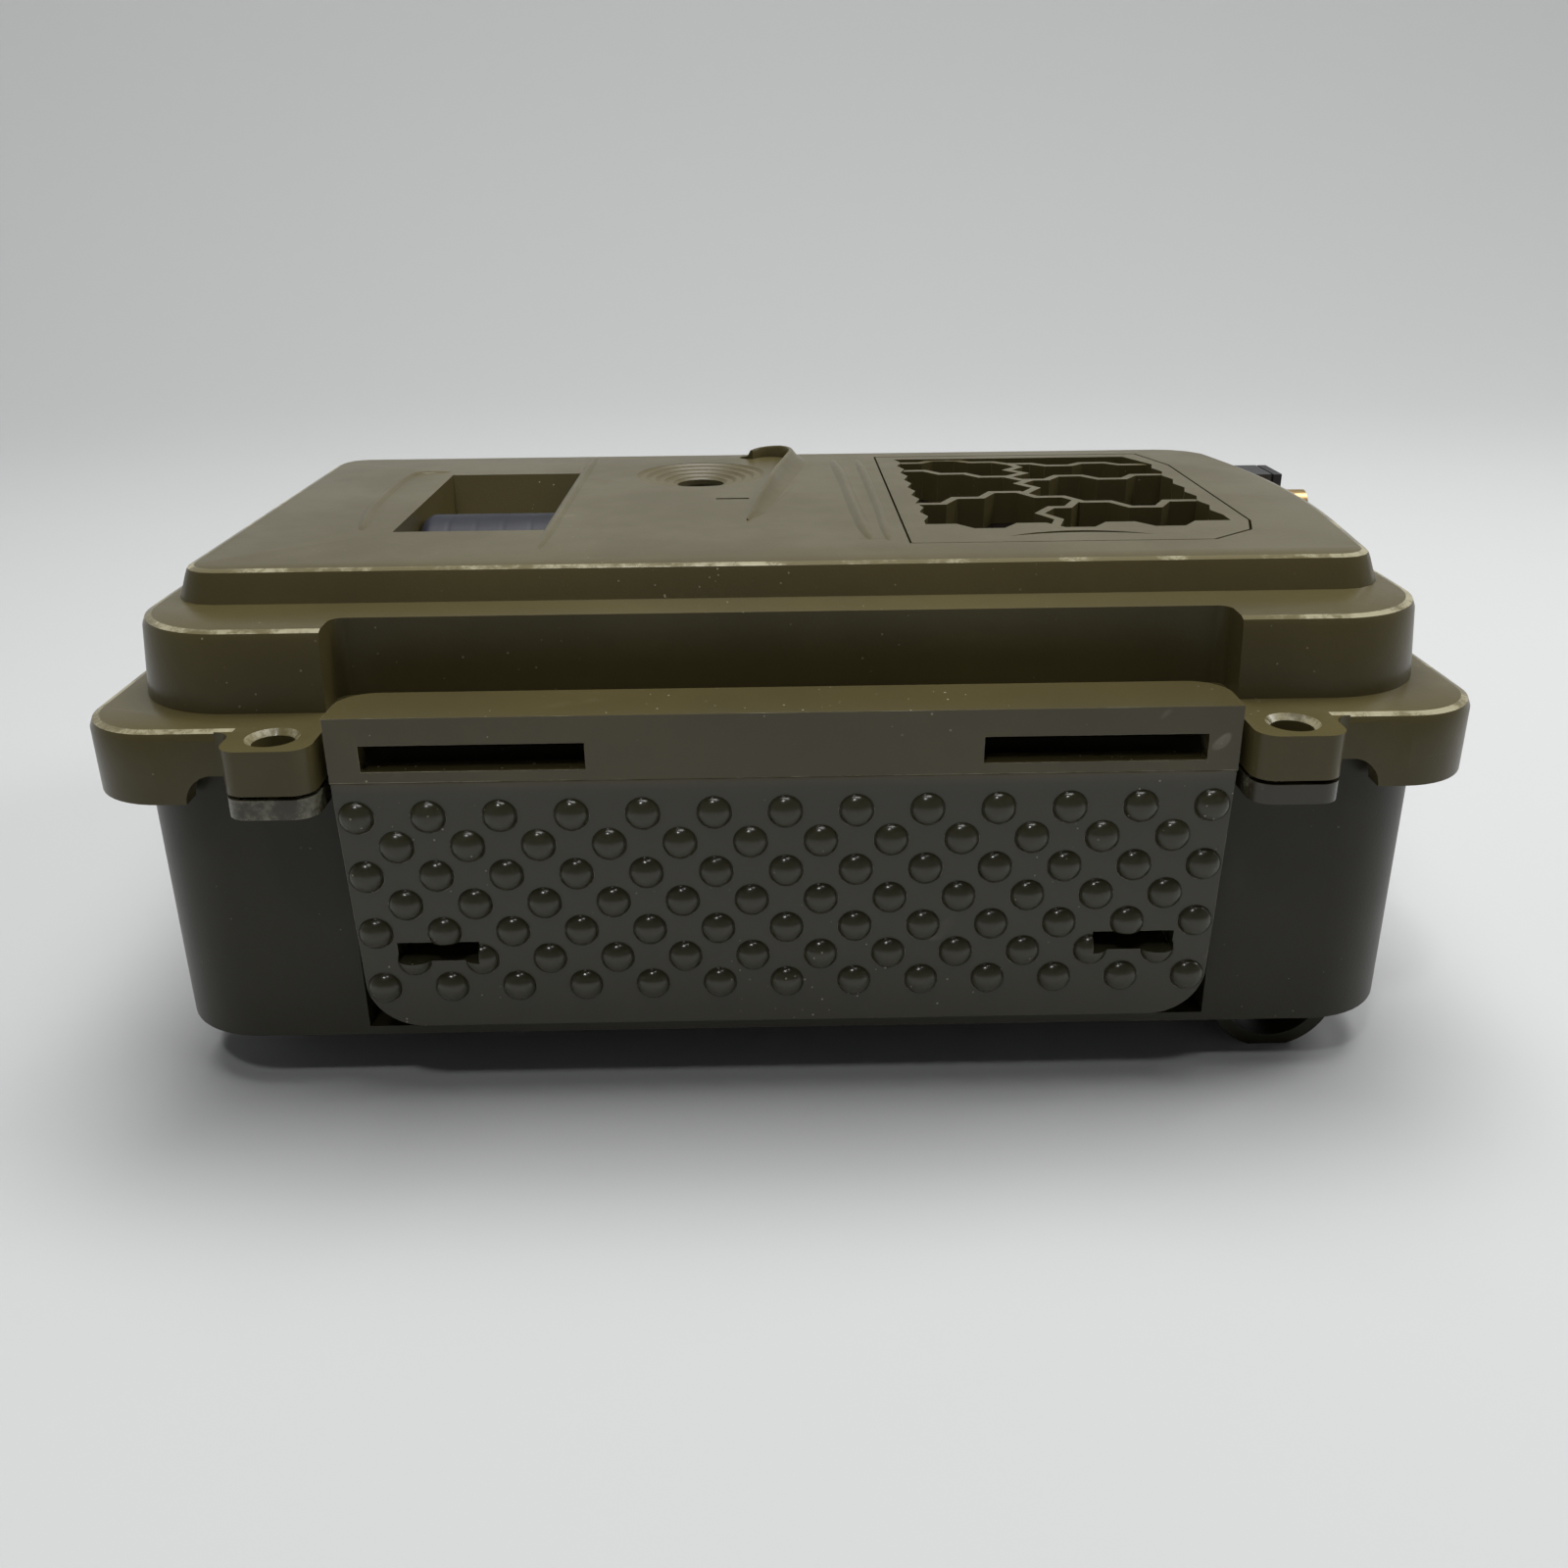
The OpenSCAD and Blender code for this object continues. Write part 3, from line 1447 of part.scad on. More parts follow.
rear_housing();
gasket();
upper_strap_bracket();
lower_strap_bracket();
bracket_screws();
tripod_insert();
battery_tray();
tray_screws();
cell_1();
cell_2();
cell_3();
cell_4();
cell_5();
cell_6();
contact_springs();
contact_plates();
terminal_pads();
hinge_pins();
latch_pins();
front_cover();
pir_lens();
pir_sensor();
lens_window();
lens_barrel();
lens_glass();
sensor_block();
status_light();
microphone();
flash_grille();
flash_window();
led_board();
led_spacers();
flash_leds();
main_board();
board_spacers();
board_screws();
processor();
display();
display_window();
key_switches();
mode_switch();
card_socket();
inner_plate();
plate_screws();
door_contacts();
antenna_jack();
antenna_nut();
antenna_washer();
power_jack();
jack_cap();
up_button();
down_button();
left_button();
right_button();
ok_button();
menu_button();
mode_knob();
memory_card();
latch();
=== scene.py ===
import json
import math

import bmesh
import bpy
from mathutils import Matrix, Vector


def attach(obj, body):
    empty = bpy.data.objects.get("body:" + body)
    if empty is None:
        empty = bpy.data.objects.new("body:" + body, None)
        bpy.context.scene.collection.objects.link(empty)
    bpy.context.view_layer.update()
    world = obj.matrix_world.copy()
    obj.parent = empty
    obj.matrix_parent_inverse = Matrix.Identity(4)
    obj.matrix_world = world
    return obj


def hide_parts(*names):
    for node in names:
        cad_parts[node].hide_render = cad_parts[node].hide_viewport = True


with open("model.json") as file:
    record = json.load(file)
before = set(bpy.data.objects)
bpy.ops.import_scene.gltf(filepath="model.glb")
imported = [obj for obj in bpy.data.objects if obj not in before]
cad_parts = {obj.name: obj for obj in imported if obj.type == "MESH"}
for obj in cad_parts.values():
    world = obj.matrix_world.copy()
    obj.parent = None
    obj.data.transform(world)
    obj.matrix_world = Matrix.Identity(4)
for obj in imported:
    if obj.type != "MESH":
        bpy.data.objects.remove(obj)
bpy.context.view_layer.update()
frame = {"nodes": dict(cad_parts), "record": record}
scene = bpy.context.scene
mm = 0.001
bodies = frame["record"]["behaviour"]["bodies"]
bodyOf = {node: body for body, names in bodies.items() for node in names}
slotOf = {entry["node"]: entry["material_slot"] for entry in frame["record"]["subparts"]}
print("frame loaded:", len(frame["nodes"]), "nodes")


def put(tree, kind, settings=None, **inputs):
    # one shader node; inputs go by name, or by number as _0, _1
    node = tree.nodes.new("ShaderNode" + kind)
    for key, value in (settings or {}).items():
        setattr(node, key, value)
    for key, value in inputs.items():
        place = int(key[1:]) if key[1:].isdigit() else key.replace("_", " ")
        socket = node.inputs[place]
        if isinstance(value, bpy.types.NodeSocket):
            tree.links.new(value, socket)
        else:
            socket.default_value = value
    return node


def math2(tree, operation, a, b=0.5, clamp=False):
    return put(tree, "Math", {"operation": operation, "use_clamp": clamp}, _0=a, _1=b).outputs[0]


def spread(tree, value, low, high, toLow=0.0, toHigh=1.0):
    # softly maps low..high to toLow..toHigh
    node = put(tree, "MapRange", {"interpolation_type": "SMOOTHSTEP"}, Value=value)
    for i, number in enumerate((low, high, toLow, toHigh)):
        if isinstance(number, bpy.types.NodeSocket):
            tree.links.new(number, node.inputs[i + 1])
        else:
            node.inputs[i + 1].default_value = number
    return node.outputs[0]


def blendColour(tree, amount, a, b):
    node = tree.nodes.new("ShaderNodeMix")
    node.data_type = "RGBA"
    for socket, value in ((node.inputs[0], amount), (node.inputs[6], a), (node.inputs[7], b)):
        if isinstance(value, bpy.types.NodeSocket):
            tree.links.new(value, socket)
        else:
            socket.default_value = value
    return node.outputs[2]


def rgb(red, green, blue):
    # screen colour 0..255 as linear light
    def linear(c):
        c = c / 255
        return c / 12.92 if c <= 0.04045 else ((c + 0.055) / 1.055) ** 2.4
    return (linear(red), linear(green), linear(blue), 1)


def newGroup(name, inputs, outputs):
    tree = bpy.data.node_groups.new(name, "ShaderNodeTree")
    face = tree.interface
    for label, kind, value in inputs:
        socket = face.new_socket(label, in_out="INPUT", socket_type="NodeSocket" + kind)
        if value is not None:
            socket.default_value = value
    for label, kind in outputs:
        face.new_socket(label, in_out="OUTPUT", socket_type="NodeSocket" + kind)
    given, out = tree.nodes.new("NodeGroupInput"), tree.nodes.new("NodeGroupOutput")
    return tree, given.outputs, out.inputs


# fine moulded texture, with slow patches of lighter and darker plastic
def makeMouldGrain():
    inputs = [("Vector", "Vector", None), ("Grain Scale", "Float", 2600.0),
              ("Patch Scale", "Float", 34.0)]
    tree, given, out = newGroup("mouldGrain", inputs, [("Height", "Float"), ("Patch", "Float")])
    fine = put(tree, "TexNoise", Vector=given["Vector"], Scale=given["Grain Scale"],
               Detail=3.0, Roughness=0.6)
    patch = put(tree, "TexNoise", Vector=given["Vector"], Scale=given["Patch Scale"],
                Detail=5.0, Roughness=0.62)
    tree.links.new(fine.outputs["Fac"], out["Height"])
    tree.links.new(spread(tree, patch.outputs["Fac"], 0.32, 0.68), out["Patch"])
    return tree


# hairline scratches in three directions, broken up by a slow mask
def makeScratches():
    inputs = [("Vector", "Vector", None), ("Scale", "Float", 60.0), ("Share", "Float", 0.4)]
    tree, given, out = newGroup("scratches", inputs, [("Mask", "Float")])
    masks = []
    for turn, seed in ((0.5, 0.0), (-0.9, 7.3), (1.9, 15.1)):
        place = put(tree, "Mapping", {"vector_type": "TEXTURE"}, Vector=given["Vector"],
                    Location=(seed, seed * 0.37, 0), Rotation=(turn * 0.4, turn * 0.3, turn),
                    Scale=(9.0, 0.28, 0.4))
        lines = put(tree, "TexNoise", Vector=place.outputs[0], Scale=given["Scale"],
                    Detail=1.0, Roughness=0.4)
        masks.append(spread(tree, lines.outputs["Fac"], 0.74, 0.78))
    where = put(tree, "TexNoise", Vector=given["Vector"], Scale=46.0, Detail=3.0, Roughness=0.6)
    share = math2(tree, "SUBTRACT", 0.78, math2(tree, "MULTIPLY", given["Share"], 0.4))
    mask = math2(tree, "MAXIMUM", math2(tree, "MAXIMUM", masks[0], masks[1]), masks[2])
    broken = math2(tree, "MULTIPLY", mask, spread(tree, where.outputs["Fac"], share, 0.8))
    tree.links.new(broken, out["Mask"])
    return tree


# pale dust specks, each of its own size
def makeDust():
    inputs = [("Vector", "Vector", None), ("Scale", "Float", 900.0), ("Share", "Float", 0.3)]
    tree, given, out = newGroup("dustSpecks", inputs, [("Mask", "Float")])
    cells = put(tree, "TexVoronoi", Vector=given["Vector"], Scale=given["Scale"])
    pick = put(tree, "SeparateColor", Color=cells.outputs["Color"])
    fewest = math2(tree, "SUBTRACT", 1.0, given["Share"])
    size = spread(tree, pick.outputs[0], fewest, 1.0, 0.0, 0.13)
    spot = math2(tree, "LESS_THAN", cells.outputs["Distance"], size)
    where = put(tree, "TexNoise", Vector=given["Vector"], Scale=60.0, Detail=2.0)
    patchy = math2(tree, "MULTIPLY", spot, spread(tree, where.outputs["Fac"], 0.45, 0.62))
    tree.links.new(patchy, out["Mask"])
    return tree


groups = {"grain": makeMouldGrain(), "scratch": makeScratches(), "dust": makeDust()}


def useGroup(tree, key, **inputs):
    node = tree.nodes.new("ShaderNodeGroup")
    node.node_tree = groups[key]
    for name, value in inputs.items():
        socket = node.inputs[name.replace("_", " ")]
        if isinstance(value, bpy.types.NodeSocket):
            tree.links.new(value, socket)
        else:
            socket.default_value = value
    return node.outputs


def newMaterial(name):
    mat = bpy.data.materials.new(name)
    mat.use_nodes = True
    tree = mat.node_tree
    shader = tree.nodes["Principled BSDF"]
    where = tree.nodes.new("ShaderNodeTexCoord").outputs["Object"]
    return mat, tree, shader, where


def bumpFrom(tree, shader, height, distance, strength=1.0):
    node = put(tree, "Bump", Height=height, Distance=distance * mm, Strength=strength)
    tree.links.new(node.outputs[0], shader.inputs["Normal"])


# moulded plastic: base and darker patch, pale scratches and dust, fine grain, and painted shade
# below a given height
def mouldedPlastic(name, base, patch, pale, rough, scratch, dust, grain=0.02, specular=0.5,
                   paleShare=0.5, under=None, paintedShadeTop=0.0):
    mat, tree, shader, where = newMaterial(name)
    texture = useGroup(tree, "grain", Vector=where)
    colour = blendColour(tree, texture["Patch"], rgb(*base), rgb(*patch))
    if under:
        # painted shade: the plastic is painted darker and greyer below this height
        height = put(tree, "SeparateXYZ", Vector=where).outputs[2]
        above = spread(tree, height, (paintedShadeTop - 1) * mm, (paintedShadeTop + 1) * mm)
        colour = blendColour(tree, above, rgb(*under), colour)
    lines = useGroup(tree, "scratch", Vector=where, Share=scratch)["Mask"]
    specks = useGroup(tree, "dust", Vector=where, Share=dust)["Mask"]
    marks = math2(tree, "MAXIMUM", math2(tree, "MULTIPLY", lines, paleShare),
                  math2(tree, "MULTIPLY", specks, paleShare * 1.1))
    colour = blendColour(tree, marks, colour, rgb(*pale))
    tree.links.new(colour, shader.inputs["Base Color"])
    roughness = spread(tree, texture["Patch"], 0.0, 1.0, rough - 0.02, rough + 0.03)
    roughness = math2(tree, "ADD", roughness, math2(tree, "MULTIPLY", marks, 0.25), True)
    tree.links.new(roughness, shader.inputs["Roughness"])
    shader.inputs["Specular IOR Level"].default_value = specular
    height = math2(tree, "SUBTRACT", texture["Height"], math2(tree, "MULTIPLY", lines, 0.8))
    bumpFrom(tree, shader, height, grain)
    return mat


# the same plastic where an edge is worn pale, and lighter along it as a painted highlight
def rubbedAndHighlitEdge(name, base, rubbedAndHighlit, rough, share):
    mat, tree, shader, where = newMaterial(name)
    broken = put(tree, "TexNoise", Vector=where, Scale=150.0, Detail=6.0, Roughness=0.7)
    slow = put(tree, "TexNoise", Vector=where, Scale=24.0, Detail=2.0)
    level = math2(tree, "ADD", math2(tree, "MULTIPLY", broken.outputs["Fac"], 0.6),
                  math2(tree, "MULTIPLY", slow.outputs["Fac"], 0.4))
    mask = spread(tree, level, 0.62 - share * 0.2, 0.74 - share * 0.2)
    tree.links.new(blendColour(tree, mask, rgb(*base), rgb(*rubbedAndHighlit)), shader.inputs["Base Color"])
    tree.links.new(spread(tree, mask, 0.0, 1.0, rough, rough + 0.14), shader.inputs["Roughness"])
    bumpFrom(tree, shader, broken.outputs["Fac"], 0.02)
    return mat


# plated or turned metal, brushed along x and stained in patches
def plainMetal(name, colour, dark, rough):
    mat, tree, shader, where = newMaterial(name)
    stain = put(tree, "TexNoise", Vector=where, Scale=160.0, Detail=5.0, Roughness=0.65)
    line = put(tree, "Mapping", {"vector_type": "TEXTURE"}, Vector=where, Scale=(0.2, 4.0, 4.0))
    brushed = put(tree, "TexNoise", Vector=line.outputs[0], Scale=900.0, Detail=2.0)
    mask = spread(tree, stain.outputs["Fac"], 0.42, 0.7)
    tree.links.new(blendColour(tree, mask, rgb(*colour), rgb(*dark)), shader.inputs["Base Color"])
    tree.links.new(spread(tree, mask, 0.0, 1.0, rough, rough + 0.2), shader.inputs["Roughness"])
    shader.inputs["Metallic"].default_value = 1.0
    bumpFrom(tree, shader, brushed.outputs["Fac"], 0.004)
    return mat


# clear glass with faint smears
def clearGlass(name, tint, rough):
    mat, tree, shader, where = newMaterial(name)
    smear = put(tree, "TexNoise", Vector=where, Scale=120.0, Detail=4.0)
    roughness = spread(tree, smear.outputs["Fac"], 0.4, 0.8, rough, rough + 0.08)
    tree.links.new(roughness, shader.inputs["Roughness"])
    shader.inputs["Base Color"].default_value = rgb(*tint)
    shader.inputs["Transmission Weight"].default_value = 1.0
    shader.inputs["IOR"].default_value = 1.46
    return mat


# glossy or milky moulding without marks
def smoothPlastic(name, base, other, rough, scale=240.0, specular=0.5, coat=0.0):
    mat, tree, shader, where = newMaterial(name)
    cloud = put(tree, "TexNoise", Vector=where, Scale=scale, Detail=4.0, Roughness=0.6)
    mask = spread(tree, cloud.outputs["Fac"], 0.35, 0.7)
    tree.links.new(blendColour(tree, mask, rgb(*base), rgb(*other)), shader.inputs["Base Color"])
    tree.links.new(spread(tree, mask, 0.0, 1.0, rough, rough + 0.06), shader.inputs["Roughness"])
    shader.inputs["Specular IOR Level"].default_value = specular
    shader.inputs["Coat Weight"].default_value = coat
    bumpFrom(tree, shader, cloud.outputs["Fac"], 0.006)
    return mat


# green board: mask over a maze of tracks, with pads
def circuitBoard(name):
    mat, tree, shader, where = newMaterial(name)
    cells = put(tree, "TexVoronoi", {"feature": "DISTANCE_TO_EDGE"}, Vector=where, Scale=260.0,
                Randomness=0.6)
    track = spread(tree, cells.outputs["Distance"], 0.05, 0.09)
    dots = put(tree, "TexVoronoi", Vector=where, Scale=420.0, Randomness=0.35)
    pad = math2(tree, "LESS_THAN", dots.outputs["Distance"], 0.16)
    colour = blendColour(tree, track, rgb(36, 104, 58), rgb(14, 62, 34))
    tree.links.new(blendColour(tree, pad, colour, rgb(196, 170, 96)), shader.inputs["Base Color"])
    shader.inputs["Roughness"].default_value = 0.32
    bumpFrom(tree, shader, track, 0.02)
    return mat


# plastic with grain, patches, scratches and dust, and on the latch painted shade below the lip
mouldedFinishes = {
    "coverOlive": {"base": (76, 69, 41), "patch": (69, 62, 36), "pale": (158, 154, 130),
                   "rough": 0.32, "scratch": 0.45, "dust": 0.6, "specular": 0.32},
    "coverDull": {"base": (84, 77, 52), "patch": (78, 71, 47), "pale": (150, 146, 122),
                  "rough": 0.42, "scratch": 0.3, "dust": 0.3, "specular": 0.34},
    # the latch face below the lip is painted darker and greyer, as painted shade
    "latchOlive": {"base": (73, 66, 41), "patch": (66, 60, 37), "pale": (172, 168, 148),
                   "rough": 0.2, "scratch": 0.6, "dust": 0.55, "paleShare": 0.45,
                   "under": (50, 48, 33), "paintedShadeTop": 45.0, "grain": 0.008},
    "housingOlive": {"base": (41, 39, 25), "patch": (37, 35, 22), "pale": (122, 120, 104),
                     "rough": 0.38, "scratch": 0.35, "dust": 0.3, "paleShare": 0.4,
                     "specular": 0.3},
    "blackPlastic": {"base": (30, 30, 30), "patch": (24, 24, 25), "pale": (90, 90, 90),
                     "rough": 0.42, "scratch": 0.25, "dust": 0.2, "paleShare": 0.3},
    "blackRubber": {"base": (26, 26, 27), "patch": (21, 21, 22), "pale": (84, 84, 82),
                    "rough": 0.62, "scratch": 0.1, "dust": 0.4, "grain": 0.03, "paleShare": 0.4},
    "keyGrey": {"base": (98, 98, 100), "patch": (90, 90, 92), "pale": (150, 150, 150), "rough": 0.5,
                "scratch": 0.2, "dust": 0.1, "paleShare": 0.3},
}
# edge finishes: pale wear, and a lighter base colour that is painted highlight
edgeFinishes = {
    "coverEdge": {"base": (92, 85, 58), "rubbedAndHighlit": (144, 138, 112), "rough": 0.19, "share": 0.72},
    "latchEdge": {"base": (86, 80, 57), "rubbedAndHighlit": (168, 163, 140), "rough": 0.22, "share": 0.7},
    "housingEdge": {"base": (50, 47, 34), "rubbedAndHighlit": (124, 121, 103), "rough": 0.24, "share": 0.4},
}
metalFinishes = {
    "screwSteel": {"colour": (176, 176, 178), "dark": (120, 116, 110), "rough": 0.32},
    "springNickel": {"colour": (205, 204, 200), "dark": (150, 146, 138), "rough": 0.22},
    "goldPlate": {"colour": (206, 176, 122), "dark": (164, 130, 78), "rough": 0.28},
    "turnedBrass": {"colour": (188, 156, 88), "dark": (134, 104, 56), "rough": 0.3},
    "tinPlate": {"colour": (190, 190, 188), "dark": (148, 146, 142), "rough": 0.34},
}
smoothFinishes = {
    "sensorFilm": {"base": (34, 35, 42), "other": (29, 30, 37), "rough": 0.46, "scale": 90.0,
                   "specular": 0.2},
    "darkWindow": {"base": (16, 11, 13), "other": (10, 8, 10), "rough": 0.16, "specular": 0.3},
    "clearLamp": {"base": (176, 180, 190), "other": (150, 154, 166), "rough": 0.1, "coat": 0.5},
    "displayDark": {"base": (34, 38, 42), "other": (27, 30, 34), "rough": 0.12, "coat": 0.4},
    "cellJacket": {"base": (38, 42, 40), "other": (30, 34, 33), "rough": 0.22, "coat": 0.4},
    "cardBlue": {"base": (34, 40, 60), "other": (28, 33, 50), "rough": 0.4},
}
finishes = {"clearGlass": clearGlass("clearGlass", (222, 230, 236), 0.03),
            "circuitBoard": circuitBoard("circuitBoard")}
for maker, table in ((mouldedPlastic, mouldedFinishes), (rubbedAndHighlitEdge, edgeFinishes),
                     (plainMetal, metalFinishes), (smoothPlastic, smoothFinishes)):
    for name, look in table.items():
        finishes[name] = maker(name, **look)

# finishes of each of the record's slots: the faces, then the edges worn pale with a painted
# highlight, then the duller parts
finishOf = {
    "cover_plastic": ("coverOlive", "coverEdge", "coverDull"),
    "housing_plastic": ("housingOlive", "housingEdge"),
    "latch_plastic": ("latchOlive", "latchEdge"), "black_plastic": ("blackPlastic",),
    "seal_rubber": ("blackRubber",), "key_plastic": ("keyGrey",),
    "screw_steel": ("screwSteel",), "spring_steel": ("springNickel",), "brass": ("turnedBrass",),
    "gold_plate": ("goldPlate",), "tin": ("tinPlate",), "sensor_film": ("sensorFilm",),
    "clear_glass": ("clearGlass",), "dark_window": ("darkWindow",), "lamp_plastic": ("clearLamp",),
    "circuit_board": ("circuitBoard",), "display_panel": ("displayDark",),
    "cell_jacket": ("cellJacket",), "card_plastic": ("cardBlue",)}
print("materials made:", len(finishes))


def pieceFrom(name, mesh):
    piece = bpy.data.objects.new(name, mesh)
    scene.collection.objects.link(piece)
    return piece


def giveMaterials(piece, slot):
    for key in finishOf[slot]:
        piece.data.materials.append(finishes[key])


def settle(piece, node=None, body=None, slot=None):
    # hands a piece to its body, with its slot's finishes where it has none yet
    slot = slot or slotOf[node]
    body = body or bodyOf[node]
    if not piece.data.materials:
        giveMaterials(piece, slot)
    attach(piece, body)
    if node:
        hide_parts(node)


merging = {"doubles": 0.012, "slivers": 0.004, "flat": 0.8}  # mm, mm, degrees


def mergedCopy(node):
    # a node's loose triangles joined into clean flat faces
    mesh = frame["nodes"][node].data.copy()
    mesh.materials.clear()
    if "custom_normal" in mesh.attributes:
        mesh.attributes.remove(mesh.attributes["custom_normal"])
    bm = bmesh.new()
    bm.from_mesh(mesh)
    bmesh.ops.remove_doubles(bm, verts=bm.verts, dist=merging["doubles"] * mm)
    bmesh.ops.dissolve_degenerate(bm, edges=bm.edges, dist=merging["slivers"] * mm)
    bmesh.ops.dissolve_limit(bm, angle_limit=math.radians(merging["flat"]), verts=bm.verts,
                             edges=bm.edges)
    for face in bm.faces:
        face.smooth = True
        face.material_index = 0
    bm.to_mesh(mesh)
    bm.free()
    return mesh


def applied(piece):
    # the piece with its modifiers worked into a plain mesh
    ready = piece.evaluated_get(bpy.context.evaluated_depsgraph_get())
    mesh = bpy.data.meshes.new_from_object(ready)
    old = piece.data
    piece.modifiers.clear()
    piece.data = mesh
    bpy.data.meshes.remove(old)
    return piece


def roundEdges(piece, width, segments=2, angle=30, pick=None):
    # rounds the sharp edges by width in mm, pick gives an edge its share of it
    bm = bmesh.new()
    bm.from_mesh(piece.data)
    weights = bm.edges.layers.float
    layer = weights.get("bevel_weight_edge") or weights.new("bevel_weight_edge")
    for edge in bm.edges:
        sharp = len(edge.link_faces) == 2 and edge.calc_face_angle(0) > math.radians(angle)
        edge[layer] = (pick(edge) if pick else 1.0) if sharp else 0.0
    bm.to_mesh(piece.data)
    bm.free()
    bevel = piece.modifiers.new("rounding", "BEVEL")
    bevel.width = width * mm
    bevel.segments = segments
    bevel.limit_method = "WEIGHT"
    bevel.miter_outer = "MITER_SHARP"
    bevel.use_clamp_overlap = True
    bevel.harden_normals = True
    # the rounded faces take the second finish, which on the edge finishes is pale wear with a
    # painted highlight
    if len(piece.data.materials) > 1:
        bevel.material = 1
    return applied(piece)


def edgeMiddle(edge):
    return (edge.verts[0].co + edge.verts[1].co) / 2 / mm


def dress(node, width=0.25, segments=2, angle=30, pick=None):
    piece = pieceFrom(node + ".look", mergedCopy(node))
    giveMaterials(piece, slotOf[node])
    if width:
        roundEdges(piece, width, segments, angle, pick)
    else:
        piece.data.set_sharp_from_angle(angle=math.radians(angle))
    settle(piece, node)
    return piece


def cutWith(piece, lows, highs):
    # takes a box away from a piece
    bm = bmesh.new()
    bmesh.ops.create_cube(bm, size=1.0)
    for vert in bm.verts:
        vert.co = Vector([lo if c < 0 else hi for c, lo, hi in zip(vert.co, lows, highs)]) * mm
    tool = bpy.data.meshes.new("cutter")
    bm.to_mesh(tool)
    bm.free()
    cutter = pieceFrom("cutter", tool)
    cut = piece.modifiers.new("cut", "BOOLEAN")
    cut.object = cutter
    cut.operation = "DIFFERENCE"
    cut.solver = "EXACT"
    applied(piece)
    bpy.data.objects.remove(cutter)


def gridMesh(name, rings):
    # closed skin over rings of points given in mm
    bm = bmesh.new()
    rows = [[bm.verts.new(Vector(p) * mm) for p in ring] for ring in rings]
    for a, b in zip(rows, rows[1:]):
        for i in range(len(a)):
            j = (i + 1) % len(a)
            bm.faces.new((a[i], a[j], b[j], b[i]))
    bm.faces.new(rows[0][::-1])
    bm.faces.new(rows[-1])
    bmesh.ops.remove_doubles(bm, verts=bm.verts, dist=0.002 * mm)
    bmesh.ops.recalc_face_normals(bm, faces=bm.faces)
    for face in bm.faces:
        face.smooth = True
    mesh = bpy.data.meshes.new(name)
    bm.to_mesh(mesh)
    bm.free()
    mesh.set_sharp_from_angle(angle=math.radians(38))
    return mesh


# front cover and what is moulded on its panel, in mm
panel = {"top": 64.9, "dish": (-12.33, 21.0, 10.45), "dishLow": 58,
         "cut": ((-70, -38, 64.91), (16.5, 39, 75)),  # thin mouldings that the pieces below replace
         "rubbedAndHighlit": ((51.1, 1.3), (60.9, 1.3), (64.9, 1.3)),  # top and height of each sloping strip
         "slope": (0.55, 0.985), "rounding": 0.8, "plainShare": 0.56,
         "recess": {"halfLength": 55.5, "front": -53.4, "back": -46.8, "low": 52}}


def wornHighlightStrips(mesh, levels):
    # gives the sloping strips below each level the edge finish: worn pale, with a painted highlight
    for face in mesh.polygons:
        low = min(mesh.vertices[i].co.z for i in face.vertices) / mm
        high = max(mesh.vertices[i].co.z for i in face.vertices) / mm
        steep, flat = panel["slope"]
        onStrip = any(top - tall < low and high < top + 0.02 for top, tall in levels)
        if steep < face.normal.z < flat and onStrip:
            face.material_index = 1


def coverEdgeShare(edge):
    # the edges of the recess behind the latch are rounder than the rest
    middle, recess = edgeMiddle(edge), panel["recess"]
    inRecess = abs(middle.x) < recess["halfLength"] and recess["front"] < middle.y < recess["back"]
    return 1.0 if inRecess and middle.z > recess["low"] else panel["plainShare"]


def dullDish(mesh):
    # the stepped dish of the camera lens is duller than the panel
    cx, cy, reach = panel["dish"]
    for face in mesh.polygons:
        spots = [mesh.vertices[i].co / mm for i in face.vertices]
        inside = all(math.hypot(v.x - cx, v.y - cy) < reach for v in spots)
        if inside and min(v.z for v in spots) > panel["dishLow"]:
            face.material_index = 2


def makeCover():
    cover = pieceFrom("front_cover.look", mergedCopy("front_cover"))
    giveMaterials(cover, "cover_plastic")
    cutWith(cover, *panel["cut"])
    wornHighlightStrips(cover.data, panel["rubbedAndHighlit"])
    roundEdges(cover, panel["rounding"], 3, 30, coverEdgeShare)
    dullDish(cover.data)
    settle(cover, "front_cover")


# the profile goes from the inner foot over the crest to the outer foot,
# as shares of width and height
hood = {"height": 1.94, "width": 3.2, "steps": 48, "lowest": -0.3, "fullHeightAt": 0.42,
        "curlFrom": 0.7, "dropFrom": 0.9,
        "profile": [(-0.16, -0.6), (-0.14, 0.78), (-0.06, 0.96), (0.04, 1.0), (0.14, 0.95),
                    (0.24, 0.78), (0.38, 0.52), (0.56, 0.28), (0.78, 0.1), (1.0, -0.08),
                    (1.0, -0.6)],
        "path": [(-4.4, -14.4), (-4.1, -12.4), (-3.6, -9.0), (-3.0, -4.5), (-1.5, 5.2),
                 (-0.1, 15.3), (1.0, 22.0), (2.0, 28.0), (2.6, 32.0), (2.3, 34.8), (0.9, 36.4),
                 (-1.2, 36.8), (-3.0, 36.0), (-4.0, 34.6)]}


